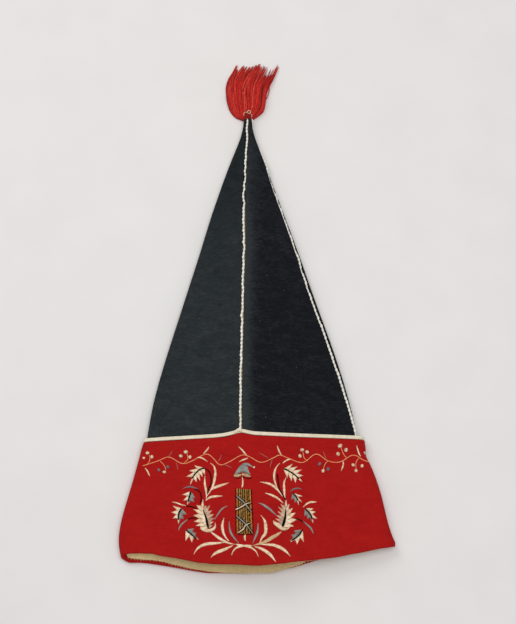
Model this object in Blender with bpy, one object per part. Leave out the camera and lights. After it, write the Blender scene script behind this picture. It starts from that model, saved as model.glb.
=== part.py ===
"""A tall pointed wool cap with an embroidered turned-up cuff, lying flattened on its back.

X runs across the cap, +Y from the opening to the tip, +Z up from the surface it lies on.
"""

import math

import bpy
import numpy as np
from mathutils import Matrix, Vector

mm = 0.001

# Cloth and cord
crown_cloth = 2.0 * mm
cuff_cloth = 2.0 * mm
lining_cloth = 1.0 * mm
sewing_gap = 0.3 * mm
cord_radius = 1.25 * mm
cord_depth = 0.55 * mm
pressed_cord_radius = 0.95 * mm
pressed_cord_depth = 1.0 * mm
cord_gap = 0.4 * mm
lining_slack = 0.9 * mm

# Cuff
hem_half_width = 139.6 * mm
cuff_height = 121.6 * mm
cuff_crest = 39.3 * mm
cuff_fold_radius = 7.0 * mm
hem_turning = 8.0 * mm
binding_half_width = 2.1 * mm
binding_half_thickness = 1.45 * mm
binding_peak = 3.8 * mm
binding_peak_width = 8.0 * mm
edge_slant = 2.4 * mm
edge_band = 12.0 * mm
pressing_length = 14.0 * mm

# Crown
tip_y = 216.5 * mm
cuff_top_y = -140.4 * mm
crown_short_of_hem = 9.5 * mm
lining_top_y = 118.0 * mm
lining_droop = 2.2 * mm

# Lie of the front cloth
slope_sag = 1.6 * mm
ripple = 0.5 * mm
ripple_length = 185.0 * mm
stiff_tip = 60.0 * mm

# Tassel
tassel_length = 60.5 * mm
tassel_stem_radius = 1.65 * mm
tassel_neck_length = 4.5 * mm
tie_radius = 1.2 * mm

# Loops and tubes
panel_sides = (12, 8, 8, 12)
cord_sides = 8
turn_weight = 24.0 * mm

layer = cuff_cloth + sewing_gap
crown_fold_radius = cuff_fold_radius - layer
hem_y = cuff_top_y - cuff_height

# Cuff rows: share of the height below the top edge, then left fold, right fold (shares of
# hem_half_width from the middle of the cap), crest and underside (shares of cuff_crest) and fold
# radius (share of cuff_fold_radius).
cuff_rows = (
    (0.000, -0.850, 0.792, 1.000, 0.018, 1.12),
    (0.040, -0.860, 0.796, 1.001, 0.008, 1.11),
    (0.089, -0.868, 0.799, 1.000, 0.003, 1.09),
    (0.129, -0.874, 0.790, 0.999, 0.000, 1.06),
    (0.210, -0.891, 0.821, 0.994, 0.000, 1.02),
    (0.387, -0.923, 0.869, 0.982, 0.000, 1.00),
    (0.573, -0.966, 0.910, 0.967, 0.000, 1.00),
    (0.782, -1.008, 0.951, 0.949, 0.000, 1.00),
    (0.919, -1.008, 0.984, 0.938, 0.000, 1.00),
    (1.000, -0.986, 1.014, 0.931, 0.000, 1.00),
)

# Crown rows above the covered part: share of the way from the cuff's top edge to the tip, then
# left fold, right fold (shares of hem_half_width), crest and underside (shares of cuff_crest),
# fold radius (share of crown_fold_radius) and the right seam's share of the way round.
crown_rows = (
    (1.000, -0.109, -0.049, 0.220, 0.013, 0.84, 0.2500),
    (0.988, -0.113, -0.044, 0.245, 0.013, 0.95, 0.2500),
    (0.955, -0.121, -0.036, 0.280, 0.018, 1.00, 0.2470),
    (0.915, -0.155, 0.000, 0.320, 0.023, 1.00, 0.2440),
    (0.850, -0.221, 0.061, 0.405, 0.026, 1.00, 0.2415),
    (0.768, -0.292, 0.126, 0.480, 0.026, 1.00, 0.2400),
    (0.673, -0.371, 0.219, 0.560, 0.026, 1.00, 0.2395),
    (0.578, -0.437, 0.307, 0.625, 0.026, 1.00, 0.2395),
    (0.483, -0.511, 0.382, 0.690, 0.026, 1.00, 0.2395),
    (0.389, -0.583, 0.462, 0.745, 0.026, 1.00, 0.2395),
    (0.298, -0.654, 0.542, 0.800, 0.026, 1.00, 0.2395),
    (0.207, -0.722, 0.616, 0.845, 0.028, 1.00, 0.2400),
    (0.116, -0.782, 0.680, 0.880, 0.040, 1.00, 0.2420),
    (0.045, -0.810, 0.718, 0.898, 0.078, 1.00, 0.2450),
    (0.000, -0.826, 0.740, 0.905, 0.092, 1.00, 0.2470),
)

# Crown rows just under the cuff's top edge: share of cuff_height below that edge, then as above.
covered_rows = (
    (0.040, -0.829, 0.746, 0.907, 0.088, 1.00, 0.2480),
    (0.089, -0.834, 0.755, 0.912, 0.078, 1.00, 0.2485),
    (0.129, -0.839, 0.764, 0.922, 0.070, 1.00, 0.2490),
    (0.210, -0.862, 0.797, 0.930, 0.064, 1.00, 0.2495),
)

# Shares of the way round, from the crest to the left, at which the other seams lie
front_seam = 0.027
left_seam = 0.283
back_seam = 0.521

# How far the hem bows toward the wearer: place across, then front and back, in shares of
# hem_half_width
hem_bow = (
    (-1.000, 0.022, 0.022),
    (-0.660, 0.008, -0.032),
    (-0.370, -0.029, -0.092),
    (-0.100, -0.062, -0.100),
    (0.010, -0.069, -0.103),
    (0.180, -0.048, -0.090),
    (0.330, -0.025, -0.048),
    (0.520, -0.002, 0.008),
    (1.000, 0.093, 0.093),
)

# Tassel locks: tip across and tip along (shares of tassel_length from its neck), tip height,
# bow outward across, belly height and root width (shares of tassel_length)
tassel_locks = (
    (-0.160, 0.985, 0.060, -0.225, 0.070, 0.150),
    (-0.070, 0.930, 0.110, -0.200, 0.140, 0.165),
    (0.020, 1.000, 0.070, -0.110, 0.110, 0.160),
    (0.090, 0.950, 0.130, -0.060, 0.200, 0.170),
    (0.165, 1.020, 0.080, -0.010, 0.130, 0.160),
    (0.235, 0.960, 0.120, 0.045, 0.190, 0.160),
    (0.300, 1.000, 0.070, 0.090, 0.120, 0.155),
    (0.390, 0.955, 0.090, 0.110, 0.130, 0.140),
    (0.500, 0.905, 0.050, 0.095, 0.075, 0.115),
    (-0.215, 0.760, 0.050, -0.190, 0.060, 0.130),
    (0.345, 0.800, 0.045, 0.150, 0.060, 0.130),
    (0.050, 0.880, 0.045, -0.060, 0.045, 0.170),
    (0.200, 0.900, 0.045, 0.060, 0.045, 0.170),
)

cloth_colours = {
    "crown_front_left": (0.026, 0.032, 0.034, 1),
    "crown_front_right": (0.010, 0.012, 0.016, 1),
    "crown_back_left": (0.018, 0.022, 0.025, 1),
    "crown_back_right": (0.014, 0.017, 0.021, 1),
    "cuff": (0.42, 0.012, 0.014, 1),
    "lining": (0.50, 0.40, 0.26, 1),
    "cream_cord": (0.66, 0.60, 0.47, 1),
    "tassel": (0.50, 0.022, 0.018, 1),
}

for leftover in list(bpy.data.objects):
    bpy.data.objects.remove(leftover, do_unlink=True)

cap_collection = bpy.data.collections.new("pointed_wool_cap")
bpy.context.scene.collection.children.link(cap_collection)
cutter_collection = bpy.data.collections.new("tassel_locks")
cutter_collection.hide_render = True
bpy.context.scene.collection.children.link(cutter_collection)


def material(name, colour):
    made = bpy.data.materials.new(name)
    made.use_nodes = True
    shader = made.node_tree.nodes["Principled BSDF"]
    shader.inputs["Base Color"].default_value = colour
    shader.inputs["Roughness"].default_value = 0.9
    return made


def volume_inside(points, faces):
    """Six times the volume inside these faces, negative if they face inward."""
    total = 0.0
    for face in faces:
        first = np.array(points[face[0]])
        for a, b in zip(face[1:-1], face[2:]):
            total += float(np.dot(first, np.cross(points[a], points[b])))
    return total


def add_solid(name, points, faces, colour, collection=cap_collection):
    if volume_inside(points, faces) < 0:
        faces = [face[::-1] for face in faces]
    mesh = bpy.data.meshes.new(name)
    mesh.from_pydata([tuple(float(c) for c in p) for p in points], [], faces)
    mesh.validate()
    mesh.materials.append(material(name, colour))
    made = bpy.data.objects.new(name, mesh)
    collection.objects.link(made)
    return made


class Station:
    """One crosswise outline of the cap: a band round two fold circles and a crest circle."""

    def __init__(self, y, left, right, top, under, fold, right_seam=0.24):
        self.y = y
        self.left = left
        self.right = right
        self.top = top
        self.under = under
        self.fold = fold
        self.right_seam = right_seam
        self.trace()

    def trace(self):
        """Lists the outline's points with their normals, from the crest over the left fold and back."""
        crest = (self.top - self.under) / 2
        left_centre = np.array((self.left + self.fold, self.under + self.fold))
        right_centre = np.array((self.right - self.fold, self.under + self.fold))
        crest_centre = np.array(((self.left + self.right) / 2, self.under + crest))
        to_crest = crest_centre - left_centre
        lean = math.acos((self.fold - crest) / np.linalg.norm(to_crest))
        left_turn = math.atan2(to_crest[1], to_crest[0]) + lean
        to_crest = crest_centre - right_centre
        lean = math.acos((self.fold - crest) / np.linalg.norm(to_crest))
        right_turn = math.atan2(to_crest[1], to_crest[0]) - lean
        down = 1.5 * math.pi
        full = 2.5 * math.pi
        right_turn += 2 * math.pi
        parts = [
            (crest_centre, crest, crest_centre, crest, 0.5 * math.pi, left_turn, 24),
            (crest_centre, crest, left_centre, self.fold, left_turn, left_turn, 24),
            (left_centre, self.fold, left_centre, self.fold, left_turn, down, 40),
            (left_centre, self.fold, right_centre, self.fold, down, down, 60),
            (right_centre, self.fold, right_centre, self.fold, down, right_turn, 40),
            (right_centre, self.fold, crest_centre, crest, right_turn, right_turn, 24),
            (crest_centre, crest, crest_centre, crest, right_turn, full, 24),
        ]
        points = []
        angles = []
        for start, start_radius, end, end_radius, first, last, count in parts:
            for step in range(count):
                share = step / count
                angle = first + (last - first) * share
                normal = np.array((math.cos(angle), math.sin(angle)))
                centre = start + (end - start) * share
                points.append(centre + normal * (start_radius + (end_radius - start_radius) * share))
                angles.append(angle)
        points.append(points[0])
        angles.append(full)
        self.points = np.array(points)
        self.angles = np.array(angles)
        steps = np.linalg.norm(np.diff(self.points, axis=0), axis=1)
        self.lengths = np.concatenate(([0], np.cumsum(steps)))
        self.weights = self.lengths + turn_weight * (self.angles - self.angles[0])
        self.places = np.arange(len(self.points), dtype=float)

    def at_place(self, place, depth=0.0):
        """The point at this place round the outline and this deep under it, with its normal's angle."""
        place = place % self.places[-1]
        angle = np.interp(place, self.places, self.angles)
        x = np.interp(place, self.places, self.points[:, 0]) - depth * math.cos(angle)
        z = np.interp(place, self.places, self.points[:, 1]) - depth * math.sin(angle)
        return x, z, angle

    def place_at_length(self, length):
        whole = self.lengths[-1]
        turns = math.floor(length / whole)
        return turns * self.places[-1] + np.interp(length - turns * whole, self.lengths, self.places)

    def spread(self, start, end, count):
        """Places between two lengths, closer together where the outline turns."""
        first = self.place_at_length(start)
        last = self.place_at_length(end)
        places = np.concatenate(
            [self.places[:-1] + turn * self.places[-1] for turn in (-1, 0, 1)]
        )
        weights = np.concatenate(
            [self.weights[:-1] + turn * self.weights[-1] for turn in (-1, 0, 1)]
        )
        ends = np.interp((first, last), places, weights)
        return np.interp(np.linspace(ends[0], ends[1], count + 1), weights, places)


def bow(across, share_front):
    """How far the hem is drawn along Y at this place across, for the front or the back."""
    places = [row[0] for row in hem_bow]
    front = np.interp(across, places, [row[1] for row in hem_bow])
    back = np.interp(across, places, [row[2] for row in hem_bow])
    return hem_half_width * (back + (front - back) * share_front)


def settle(station, x, z, angle):
    """Moves a point of the straight cap to where the soft cloth lies."""
    y = station.y
    share_front = 0.5 + 0.5 * math.sin(angle)
    down = min(max((cuff_top_y - y) / cuff_height, 0.0), 1.1)
    across = (x - (station.left + station.right) / 2) / ((station.right - station.left) / 2)
    on_slope = max(0.0, 1 - across * across) * share_front
    lift = -slope_sag * on_slope * math.sin(math.pi * min(1.0, abs(across))) ** 2
    lift += ripple * on_slope * math.sin(2 * math.pi * y / ripple_length + 2.1 * across)
    loose = min(1.0, max(0.0, (tip_y - y) / stiff_tip))
    return (x, y + down * bow(x / hem_half_width, share_front), z + loose * lift)


def cuff_station(row):
    share, left, right, top, under, fold = row
    y = cuff_top_y - share * cuff_height
    return Station(
        y,
        left * hem_half_width,
        right * hem_half_width,
        top * cuff_crest,
        under * cuff_crest,
        fold * cuff_fold_radius,
    )


def crown_station(y, row):
    _, left, right, top, under, fold, right_seam = row
    return Station(
        y,
        left * hem_half_width,
        right * hem_half_width,
        top * cuff_crest,
        under * cuff_crest,
        fold * crown_fold_radius,
        right_seam,
    )


cuff_stations = [cuff_station(row) for row in cuff_rows]
crown_stations = []
for row in crown_rows:
    crown_stations.append(crown_station(cuff_top_y + row[0] * (tip_y - cuff_top_y), row))
for row in covered_rows:
    crown_stations.append(crown_station(cuff_top_y - row[0] * cuff_height, row))
for outer in cuff_stations[5:]:
    inner = Station(
        outer.y,
        outer.left + layer,
        outer.right - layer,
        outer.top - layer,
        outer.under + layer,
        crown_fold_radius,
        0.25,
    )
    crown_stations.append(inner)


def between(stations, y):
    """The station at this height, between the two listed ones."""
    for upper, lower in zip(stations[:-1], stations[1:]):
        if lower.y <= y <= upper.y:
            share = (upper.y - y) / (upper.y - lower.y)
            values = []
            for name in ("left", "right", "top", "under", "fold", "right_seam"):
                first = getattr(upper, name)
                values.append(first + (getattr(lower, name) - first) * share)
            return Station(y, *values)
    raise ValueError(f"no station at {y}")


crown_end_y = hem_y + crown_short_of_hem
gore_stations = [s for s in crown_stations if s.y > crown_end_y + 2 * mm]
gore_stations.append(between(crown_stations, crown_end_y))


def in_cuff(y):
    """0 above the cuff's top edge, 1 once pressing_length below it."""
    return min(max((cuff_top_y - y) / pressing_length, 0.0), 1.0)


def pressed(y, seam):
    """How flat the cord of this seam lies: wholly under the cuff and under the cap's weight."""
    return in_cuff(y) if seam in (0, 3) else 1.0


def cord_radius_at(y, seam):
    return cord_radius + (pressed_cord_radius - cord_radius) * pressed(y, seam)


def cord_depth_at(y, seam):
    return cord_depth + (pressed_cord_depth - cord_depth) * pressed(y, seam)


def seam_lengths(station):
    """How far round this station the front, left, back and right seams lie."""
    whole = station.lengths[-1]
    return [whole * share for share in (front_seam, left_seam, back_seam, 1 - station.right_seam)]


def gore_places(station, first_seam, second_seam):
    """Places across one panel of the crown, from one seam cord to the next."""
    seams = seam_lengths(station)
    whole = station.lengths[-1]
    start = seams[first_seam]
    end = seams[second_seam] + (whole if second_seam < first_seam else 0)
    room = cord_radius_at(station.y, first_seam) + cord_gap
    end_room = cord_radius_at(station.y, second_seam) + cord_gap
    return station.spread(start + room, end - end_room, panel_sides[first_seam])


def ring_places(y, step=1):
    """Places round the whole cap at this height, in line with the panels' own."""
    station = between(crown_stations, y)
    places = []
    for first_seam in range(4):
        places.extend(gore_places(station, first_seam, (first_seam + 1) % 4)[::step])
    return places


def ring_at(station, depth, step=1, droop=0.0):
    """A ring of the lining. Droop lets its back hang past the hem in the middle."""
    ring = []
    for place in ring_places(station.y, step):
        x, z, angle = station.at_place(place, depth)
        x, y, z = settle(station, x, z, angle)
        back = max(0.0, -math.sin(angle))
        ring.append((x, y - droop * back * math.exp(-((4.0 * x / hem_half_width - 0.35) ** 2)), z))
    return ring


def skin_rings(rings, closed_end=False):
    """Faces between rings of equal count, the last joined to the first unless it's a tube."""
    count = len(rings[0])
    points = [p for ring in rings for p in ring]
    faces = []
    last = len(rings) if not closed_end else len(rings) - 1
    for r in range(last):
        a = r * count
        b = ((r + 1) % len(rings)) * count
        for i in range(count):
            j = (i + 1) % count
            faces.append((a + i, a + j, b + j, b + i))
    if closed_end:
        faces.append(tuple(range(count))[::-1])
        faces.append(tuple(range((len(rings) - 1) * count, len(rings) * count)))
    return points, faces


def gore(name, first_seam, second_seam):
    """One crown panel, from one seam cord to the next."""
    outer_rows = []
    inner_rows = []
    for station in gore_stations:
        outer = []
        inner = []
        for place in gore_places(station, first_seam, second_seam):
            x, z, angle = station.at_place(place)
            outer.append(settle(station, x, z, angle))
            x, z, angle = station.at_place(place, crown_cloth)
            inner.append(settle(station, x, z, angle))
        outer_rows.append(outer)
        inner_rows.append(inner)
    rings = [outer + inner[::-1] for outer, inner in zip(outer_rows, inner_rows)]
    points, faces = skin_rings(rings, closed_end=True)
    faces = faces[:-2]
    count = len(rings[0])
    half = count // 2
    base = (len(rings) - 1) * count
    for i in range(half - 1):
        faces.append((i + 1, i, count - 1 - i, count - 2 - i))
        faces.append((base + i, base + i + 1, base + count - 2 - i, base + count - 1 - i))
    add_solid(name, points, faces, cloth_colours[name])


gore("crown_front_left", 0, 1)
gore("crown_back_left", 1, 2)
gore("crown_back_right", 2, 3)
gore("crown_front_right", 3, 0)


def tube(path, radii, normals, sides, squash=1.0):
    """Rings of points round a path."""
    rings = []
    for i, centre in enumerate(path):
        before = path[max(i - 1, 0)]
        after = path[min(i + 1, len(path) - 1)]
        along = np.array(after) - np.array(before)
        along = along / np.linalg.norm(along)
        normal = np.array(normals[i]) - along * float(np.dot(normals[i], along))
        normal = normal / np.linalg.norm(normal)
        side = np.cross(along, normal)
        ring = []
        for k in range(sides):
            turn = 2 * math.pi * k / sides
            ring.append(
                np.array(centre)
                + radii[i] * math.cos(turn) * normal * squash
                + radii[i] * math.sin(turn) * side
            )
        rings.append(ring)
    return rings


def seam_piping(name, seam):
    path = []
    radii = []
    normals = []
    for station in gore_stations:
        place = station.place_at_length(seam_lengths(station)[seam])
        x, z, angle = station.at_place(place, cord_depth_at(station.y, seam))
        path.append(settle(station, x, z, angle))
        radii.append(cord_radius_at(station.y, seam))
        normals.append((math.cos(angle), 0.0, math.sin(angle)))
    points, faces = skin_rings(tube(path, radii, normals, cord_sides), closed_end=True)
    add_solid(name, points, faces, cloth_colours["cream_cord"])


seam_piping("seam_piping_front", 0)
seam_piping("seam_piping_left", 1)
seam_piping("seam_piping_back", 2)
seam_piping("seam_piping_right", 3)


def front_seam_x():
    station = between(crown_stations, cuff_top_y)
    place = station.place_at_length(seam_lengths(station)[0])
    return station.at_place(place)[0]


peak_x = front_seam_x()


def edge_line(point, angle):
    """Slants the cuff's top edge down to the left, and lifts it to a small point at the front."""
    x, y, z = point
    near_edge = min(max(1 - (cuff_top_y - y) / edge_band, 0.0), 1.0)
    front = max(0.0, math.sin(angle))
    rise = binding_peak * math.exp(-(((x - peak_x) / binding_peak_width) ** 2)) * front
    slant = edge_slant * min(max(x / cuff_stations[0].left, 0.0), 1.0)
    return (x, y + (rise - slant) * near_edge, z)


def cuff_ring(station, depth):
    ring = []
    for place in ring_places(station.y):
        x, z, angle = station.at_place(place, depth)
        ring.append(edge_line(settle(station, x, z, angle), angle))
    return ring


def add_cuff():
    """The red band, with the cloth turned in at the hem."""
    turning_y = hem_y + hem_turning
    turning = between(cuff_stations, turning_y)
    hem_depth = layer + crown_cloth
    outer = [cuff_ring(s, 0.0) for s in cuff_stations]
    rings = outer[:]
    rings.append(cuff_ring(cuff_stations[-1], hem_depth))
    rings.append(cuff_ring(turning, hem_depth))
    rings.append(cuff_ring(turning, cuff_cloth))
    for station in cuff_stations[-2::-1]:
        if station.y > turning_y + 1 * mm:
            rings.append(cuff_ring(station, cuff_cloth))
    points, faces = skin_rings(rings)
    add_solid("cuff", points, faces, cloth_colours["cuff"])


add_cuff()


def add_binding():
    """The cream tape sewn over the cuff's top edge."""
    station = cuff_stations[0]
    rings = []
    above = binding_half_width + sewing_gap
    for k in range(cord_sides):
        turn = 2 * math.pi * k / cord_sides
        depth = cuff_cloth / 2 - binding_half_thickness * math.cos(turn)
        ring = []
        for place in ring_places(station.y):
            x, z, angle = station.at_place(place, depth)
            x, y, z = edge_line(settle(station, x, z, angle), angle)
            ring.append((x, y + above + binding_half_width * math.sin(turn), z))
        rings.append(ring)
    points, faces = skin_rings(rings)
    add_solid("cuff_binding", points, faces, cloth_colours["cream_cord"])


add_binding()


def add_lining():
    """The cream linen bag inside, open at the hem."""
    outer_depth = crown_cloth + lining_slack
    inner_depth = outer_depth + lining_cloth
    listed = [s for s in crown_stations if s.y < lining_top_y - 12 * mm]
    listed = [s for i, s in enumerate(listed) if i % 2 == 0 or s.y < cuff_top_y + 10 * mm]
    if listed[-1].y > hem_y + 1 * mm:
        listed.append(crown_stations[-1])
    listed.insert(0, between(crown_stations, lining_top_y))
    outer = [ring_at(s, outer_depth, 2) for s in listed[:-1]]
    outer.append(ring_at(listed[-1], outer_depth, 2, lining_droop))
    inner = [ring_at(s, inner_depth, 2) for s in listed[1:-1]]
    inner.append(ring_at(listed[-1], inner_depth, 2, lining_droop))
    inner_top = between(crown_stations, lining_top_y - lining_cloth)
    inner.insert(0, ring_at(inner_top, inner_depth, 2))
    rings = outer + inner[::-1]
    points, faces = skin_rings(rings, closed_end=True)
    add_solid("lining", points, faces, cloth_colours["lining"])


add_lining()

tip_station = crown_stations[0]
neck = np.array(
    (
        (tip_station.left + tip_station.right) / 2,
        tip_y + tassel_neck_length,
        (tip_station.top + tip_station.under) / 2,
    )
)


def lock_points(row):
    """One lock of the tassel: a bent tapering strip from the neck to its tip."""
    tip_across, tip_along, tip_height, bend, belly, width = row
    start = neck + np.array((0.03 * tip_across * tassel_length, 2.6 * mm, 0.0))
    end = neck + tassel_length * np.array((tip_across, tip_along, 0.0))
    end[2] = tip_height * tassel_length
    path = []
    radii = []
    steps = 7
    for i in range(steps + 1):
        share = i / steps
        along = start + (end - start) * share
        swell = math.sin(math.pi * share ** 0.6)
        along[0] += bend * tassel_length * swell
        along[1] -= 0.3 * abs(bend) * tassel_length * math.sin(math.pi * share ** 0.35)
        along[2] += belly * tassel_length * swell * 0.8
        thick = width * tassel_length * 0.5
        radius = thick * (0.42 + 0.58 * math.sin(math.pi * min(1.0, share * 1.15 + 0.08)) ** 0.8)
        if share > 0.6:
            radius = thick * (0.10 + 0.90 * (1 - (share - 0.6) / 0.4) ** 0.9)
        along[2] = max(along[2], radius * 0.85 + 0.4 * mm)
        path.append(along)
        radii.append(radius)
    return path, radii


def add_tassel():
    """The wool tassel: its locks joined to a round head and a stem that goes into the tip."""
    stem_path = []
    stem_radii = []
    profile = (
        (-9.0, 1.0),
        (-0.6, 1.0),
        (0.2, 1.3),
        (1.2, 2.2),
        (3.0, 2.55),
        (5.0, 2.4),
        (6.6, 1.5),
    )
    for along, share in profile:
        stem_path.append(np.array((neck[0], neck[1] + along * mm, neck[2])))
        stem_radii.append(share * tassel_stem_radius)
    rings = tube(stem_path, stem_radii, [(0, 0, 1)] * len(profile), 12)
    points, faces = skin_rings(rings, closed_end=True)
    tassel = add_solid("tassel", points, faces, cloth_colours["tassel"])
    for number, row in enumerate(tassel_locks):
        path, radii = lock_points(row)
        rings = tube(path, radii, [(0, 0, 1)] * len(path), 7, squash=0.8)
        points, faces = skin_rings(rings, closed_end=True)
        lock = add_solid(f"lock_{number}", points, faces, cloth_colours["tassel"], cutter_collection)
        lock.hide_render = True
        lock.display_type = "WIRE"
        union = tassel.modifiers.new(f"lock_{number}", "BOOLEAN")
        union.operation = "UNION"
        union.solver = "EXACT"
        union.object = lock


add_tassel()


def add_tie():
    """The cream thread wound round the tassel's neck."""
    major = tassel_stem_radius + sewing_gap + tie_radius
    minor = tie_radius
    centre = neck - np.array((0.0, 0.45 * tassel_neck_length, 0.0))
    rings = []
    for k in range(20):
        turn = 2 * math.pi * k / 20
        out = np.array((math.cos(turn), 0.0, math.sin(turn)))
        ring = []
        for i in range(8):
            roll = 2 * math.pi * i / 8
            ring.append(
                centre
                + out * (major + minor * math.cos(roll))
                + np.array((0.0, minor * math.sin(roll), 0.0))
            )
        rings.append(ring)
    points, faces = skin_rings(rings)
    add_solid("tassel_tie", points, faces, cloth_colours["cream_cord"])


add_tie()



def centre_on_floor():
    """Puts the origin at the middle of the bounding box's bottom."""
    graph = bpy.context.evaluated_depsgraph_get()
    corners = []
    for made in cap_collection.objects:
        shape = made.evaluated_get(graph).to_mesh()
        corners.extend([tuple(v.co) for v in shape.vertices])
        made.evaluated_get(graph).to_mesh_clear()
    low = np.min(corners, axis=0)
    high = np.max(corners, axis=0)
    shift = Vector((-(low[0] + high[0]) / 2, -(low[1] + high[1]) / 2, -low[2]))
    for made in list(cap_collection.objects) + list(cutter_collection.objects):
        made.data.transform(Matrix.Translation(shift))
    print("moved by", [round(c * 1000, 3) for c in shift], "mm")


centre_on_floor()
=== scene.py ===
import math
import random

import bpy
import numpy as np
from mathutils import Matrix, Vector, noise
from mathutils.bvhtree import BVHTree


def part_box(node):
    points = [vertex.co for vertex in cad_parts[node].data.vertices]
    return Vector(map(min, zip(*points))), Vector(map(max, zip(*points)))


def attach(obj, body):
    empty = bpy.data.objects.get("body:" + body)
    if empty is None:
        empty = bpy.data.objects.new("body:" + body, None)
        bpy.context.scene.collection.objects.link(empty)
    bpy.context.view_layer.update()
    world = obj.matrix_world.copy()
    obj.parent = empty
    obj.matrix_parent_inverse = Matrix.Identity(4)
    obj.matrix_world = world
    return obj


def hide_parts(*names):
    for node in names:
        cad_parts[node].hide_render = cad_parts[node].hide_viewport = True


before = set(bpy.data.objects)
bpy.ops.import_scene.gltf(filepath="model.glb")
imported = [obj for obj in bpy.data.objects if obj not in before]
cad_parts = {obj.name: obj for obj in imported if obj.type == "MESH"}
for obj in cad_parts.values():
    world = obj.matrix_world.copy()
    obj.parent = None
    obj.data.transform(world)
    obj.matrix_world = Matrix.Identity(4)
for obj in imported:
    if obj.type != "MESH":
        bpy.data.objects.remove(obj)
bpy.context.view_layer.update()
print("frame loaded")

mm = 0.001
chance = random.Random(11)
picture = {"width": 516, "height": 624}
view = {
    "target": Vector((-0.41 * mm, -2.545 * mm, 0.0)),
    "distance": 1.8,
    "elevation": math.radians(75),
    "lens": 97.97,
    "sensor": 36.0,
}


# Colours and nodes
def toLinear(code):
    made = []
    for start in (0, 2, 4):
        part = int(code[start:start + 2], 16) / 255
        made.append(part / 12.92 if part <= 0.04045 else ((part + 0.055) / 1.055) ** 2.4)
    return (*made, 1.0)


# A source that is a node stands for its Fac output or, where it has none, for its first one
def addNode(tree, kind, values=None, links=None, stops=(), feeds=None, **settings):
    node = tree.nodes.new(kind)
    for name, value in settings.items():
        setattr(node, name, value)
    for socket, value in (values or {}).items():
        node.inputs[socket].default_value = value
    for socket, source in (links or {}).items():
        if isinstance(source, bpy.types.Node):
            source = source.outputs.get("Fac") or source.outputs[0]
        tree.links.new(source, node.inputs[socket])
    if stops:
        elements = node.color_ramp.elements
        while len(elements) < len(stops):
            elements.new(0.5)
        for element, (place, code) in zip(elements, stops):
            element.position = place
            element.color = toLinear(code)
    if feeds:
        tree.links.new(node.outputs[0], feeds)
    return node


def newMaterial(name, values):
    made = bpy.data.materials.new(name)
    made.use_nodes = True
    tree = made.node_tree
    shader = tree.nodes["Principled BSDF"]
    for socket, value in {"IOR": 1.5, **values}.items():
        shader.inputs[socket].default_value = value
    return made, tree, shader, addNode(tree, "ShaderNodeTexCoord").outputs["Object"]


# Sums its sources, each times its share, on top of a starting value
def blend(tree, start, *parts):
    tone = None
    for source, share in parts:
        values = {1: share} if tone else {1: share, 2: start}
        links = {0: source, 2: tone} if tone else {0: source}
        tone = addNode(tree, "ShaderNodeMath", values, links, operation="MULTIPLY_ADD")
    return tone


# Two sets of threads that cross. A Wave texture's bands repeat every tau / 20 at scale 1
def crossThreads(tree, where, spacing, **values):
    values["Scale"] = math.tau / 20 / spacing
    across, along = [
        addNode(tree, "ShaderNodeTexWave", values, {"Vector": where}, bands_direction=way)
        for way in ("X", "Y")
    ]
    return addNode(tree, "ShaderNodeMath", links={0: across, 1: along}, operation="MULTIPLY")


def colourAndRoughen(tree, shader, tone, colours, height, strength, depth):
    addNode(tree, "ShaderNodeValToRGB", links={"Fac": tone}, stops=colours, feeds=shader.inputs["Base Color"])
    bump = {"Strength": strength, "Distance": depth}
    addNode(tree, "ShaderNodeBump", bump, {"Height": height}, feeds=shader.inputs["Normal"])


# Fulled wool broadcloth: matt, with a short nap that hides most of the weave
woolGrain = {
    # lighter and darker patches, and the nap, which is drawn out along the weft that runs across the cap
    "patch": {"Scale": 1 / (13 * mm), "Detail": 4.0, "Roughness": 0.6},
    "patchWay": {"Scale": (0.7, 1.5, 1.0)},
    "nap": {"Scale": 1 / (2.4 * mm), "Detail": 4.0, "Roughness": 0.7},
    "napWay": {"Scale": (0.45, 1.3, 1.0)},
    "fibre": {"Scale": 1 / (0.55 * mm), "Detail": 3.0, "Roughness": 0.65, "Distortion": 1.2},
    # coarser than the real 0.6 mm, so that the threads show under the nap
    "thread": 1.1 * mm,
}


def fulledWool(name, look):
    made, tree, shader, where = newMaterial(
        name,
        {
            "Roughness": 0.95,
            "Sheen Weight": look["sheen"],
            "Sheen Roughness": 0.5,
            "Sheen Tint": toLinear(look["sheenColour"]),
            "Specular IOR Level": 0.1,
        },
    )
    grain = woolGrain
    patchWay = addNode(tree, "ShaderNodeMapping", grain["patchWay"], {"Vector": where})
    patches = addNode(tree, "ShaderNodeTexNoise", grain["patch"], {"Vector": patchWay})
    napWay = addNode(tree, "ShaderNodeMapping", grain["napWay"], {"Vector": where})
    nap = addNode(tree, "ShaderNodeTexNoise", grain["nap"], {"Vector": napWay})
    fibre = addNode(tree, "ShaderNodeTexNoise", grain["fibre"], {"Vector": where})
    weave = crossThreads(tree, where, grain["thread"], Distortion=1.4)
    # painted light that the crown's pieces carry per point: a painted highlight beside the front seam and
    # painted shade towards the tip
    paintedLight = addNode(tree, "ShaderNodeAttribute", attribute_name="paintedLight")
    steps = [look["patchStep"], look["napStep"], look["weaveStep"], 1.0]
    # the middle of the colours is where the patches and the nap are at half and the weave at a quarter
    rest = 0.5 - 0.5 * steps[0] - 0.5 * steps[1] - 0.25 * steps[2]
    tone = blend(tree, rest, *zip((patches, nap, weave, paintedLight), steps))
    height = blend(tree, 0.0, (weave, 0.35), (fibre, 1.0))
    colourAndRoughen(tree, shader, tone, look["colours"], height, 0.8, look["napHeight"])
    return made


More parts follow.
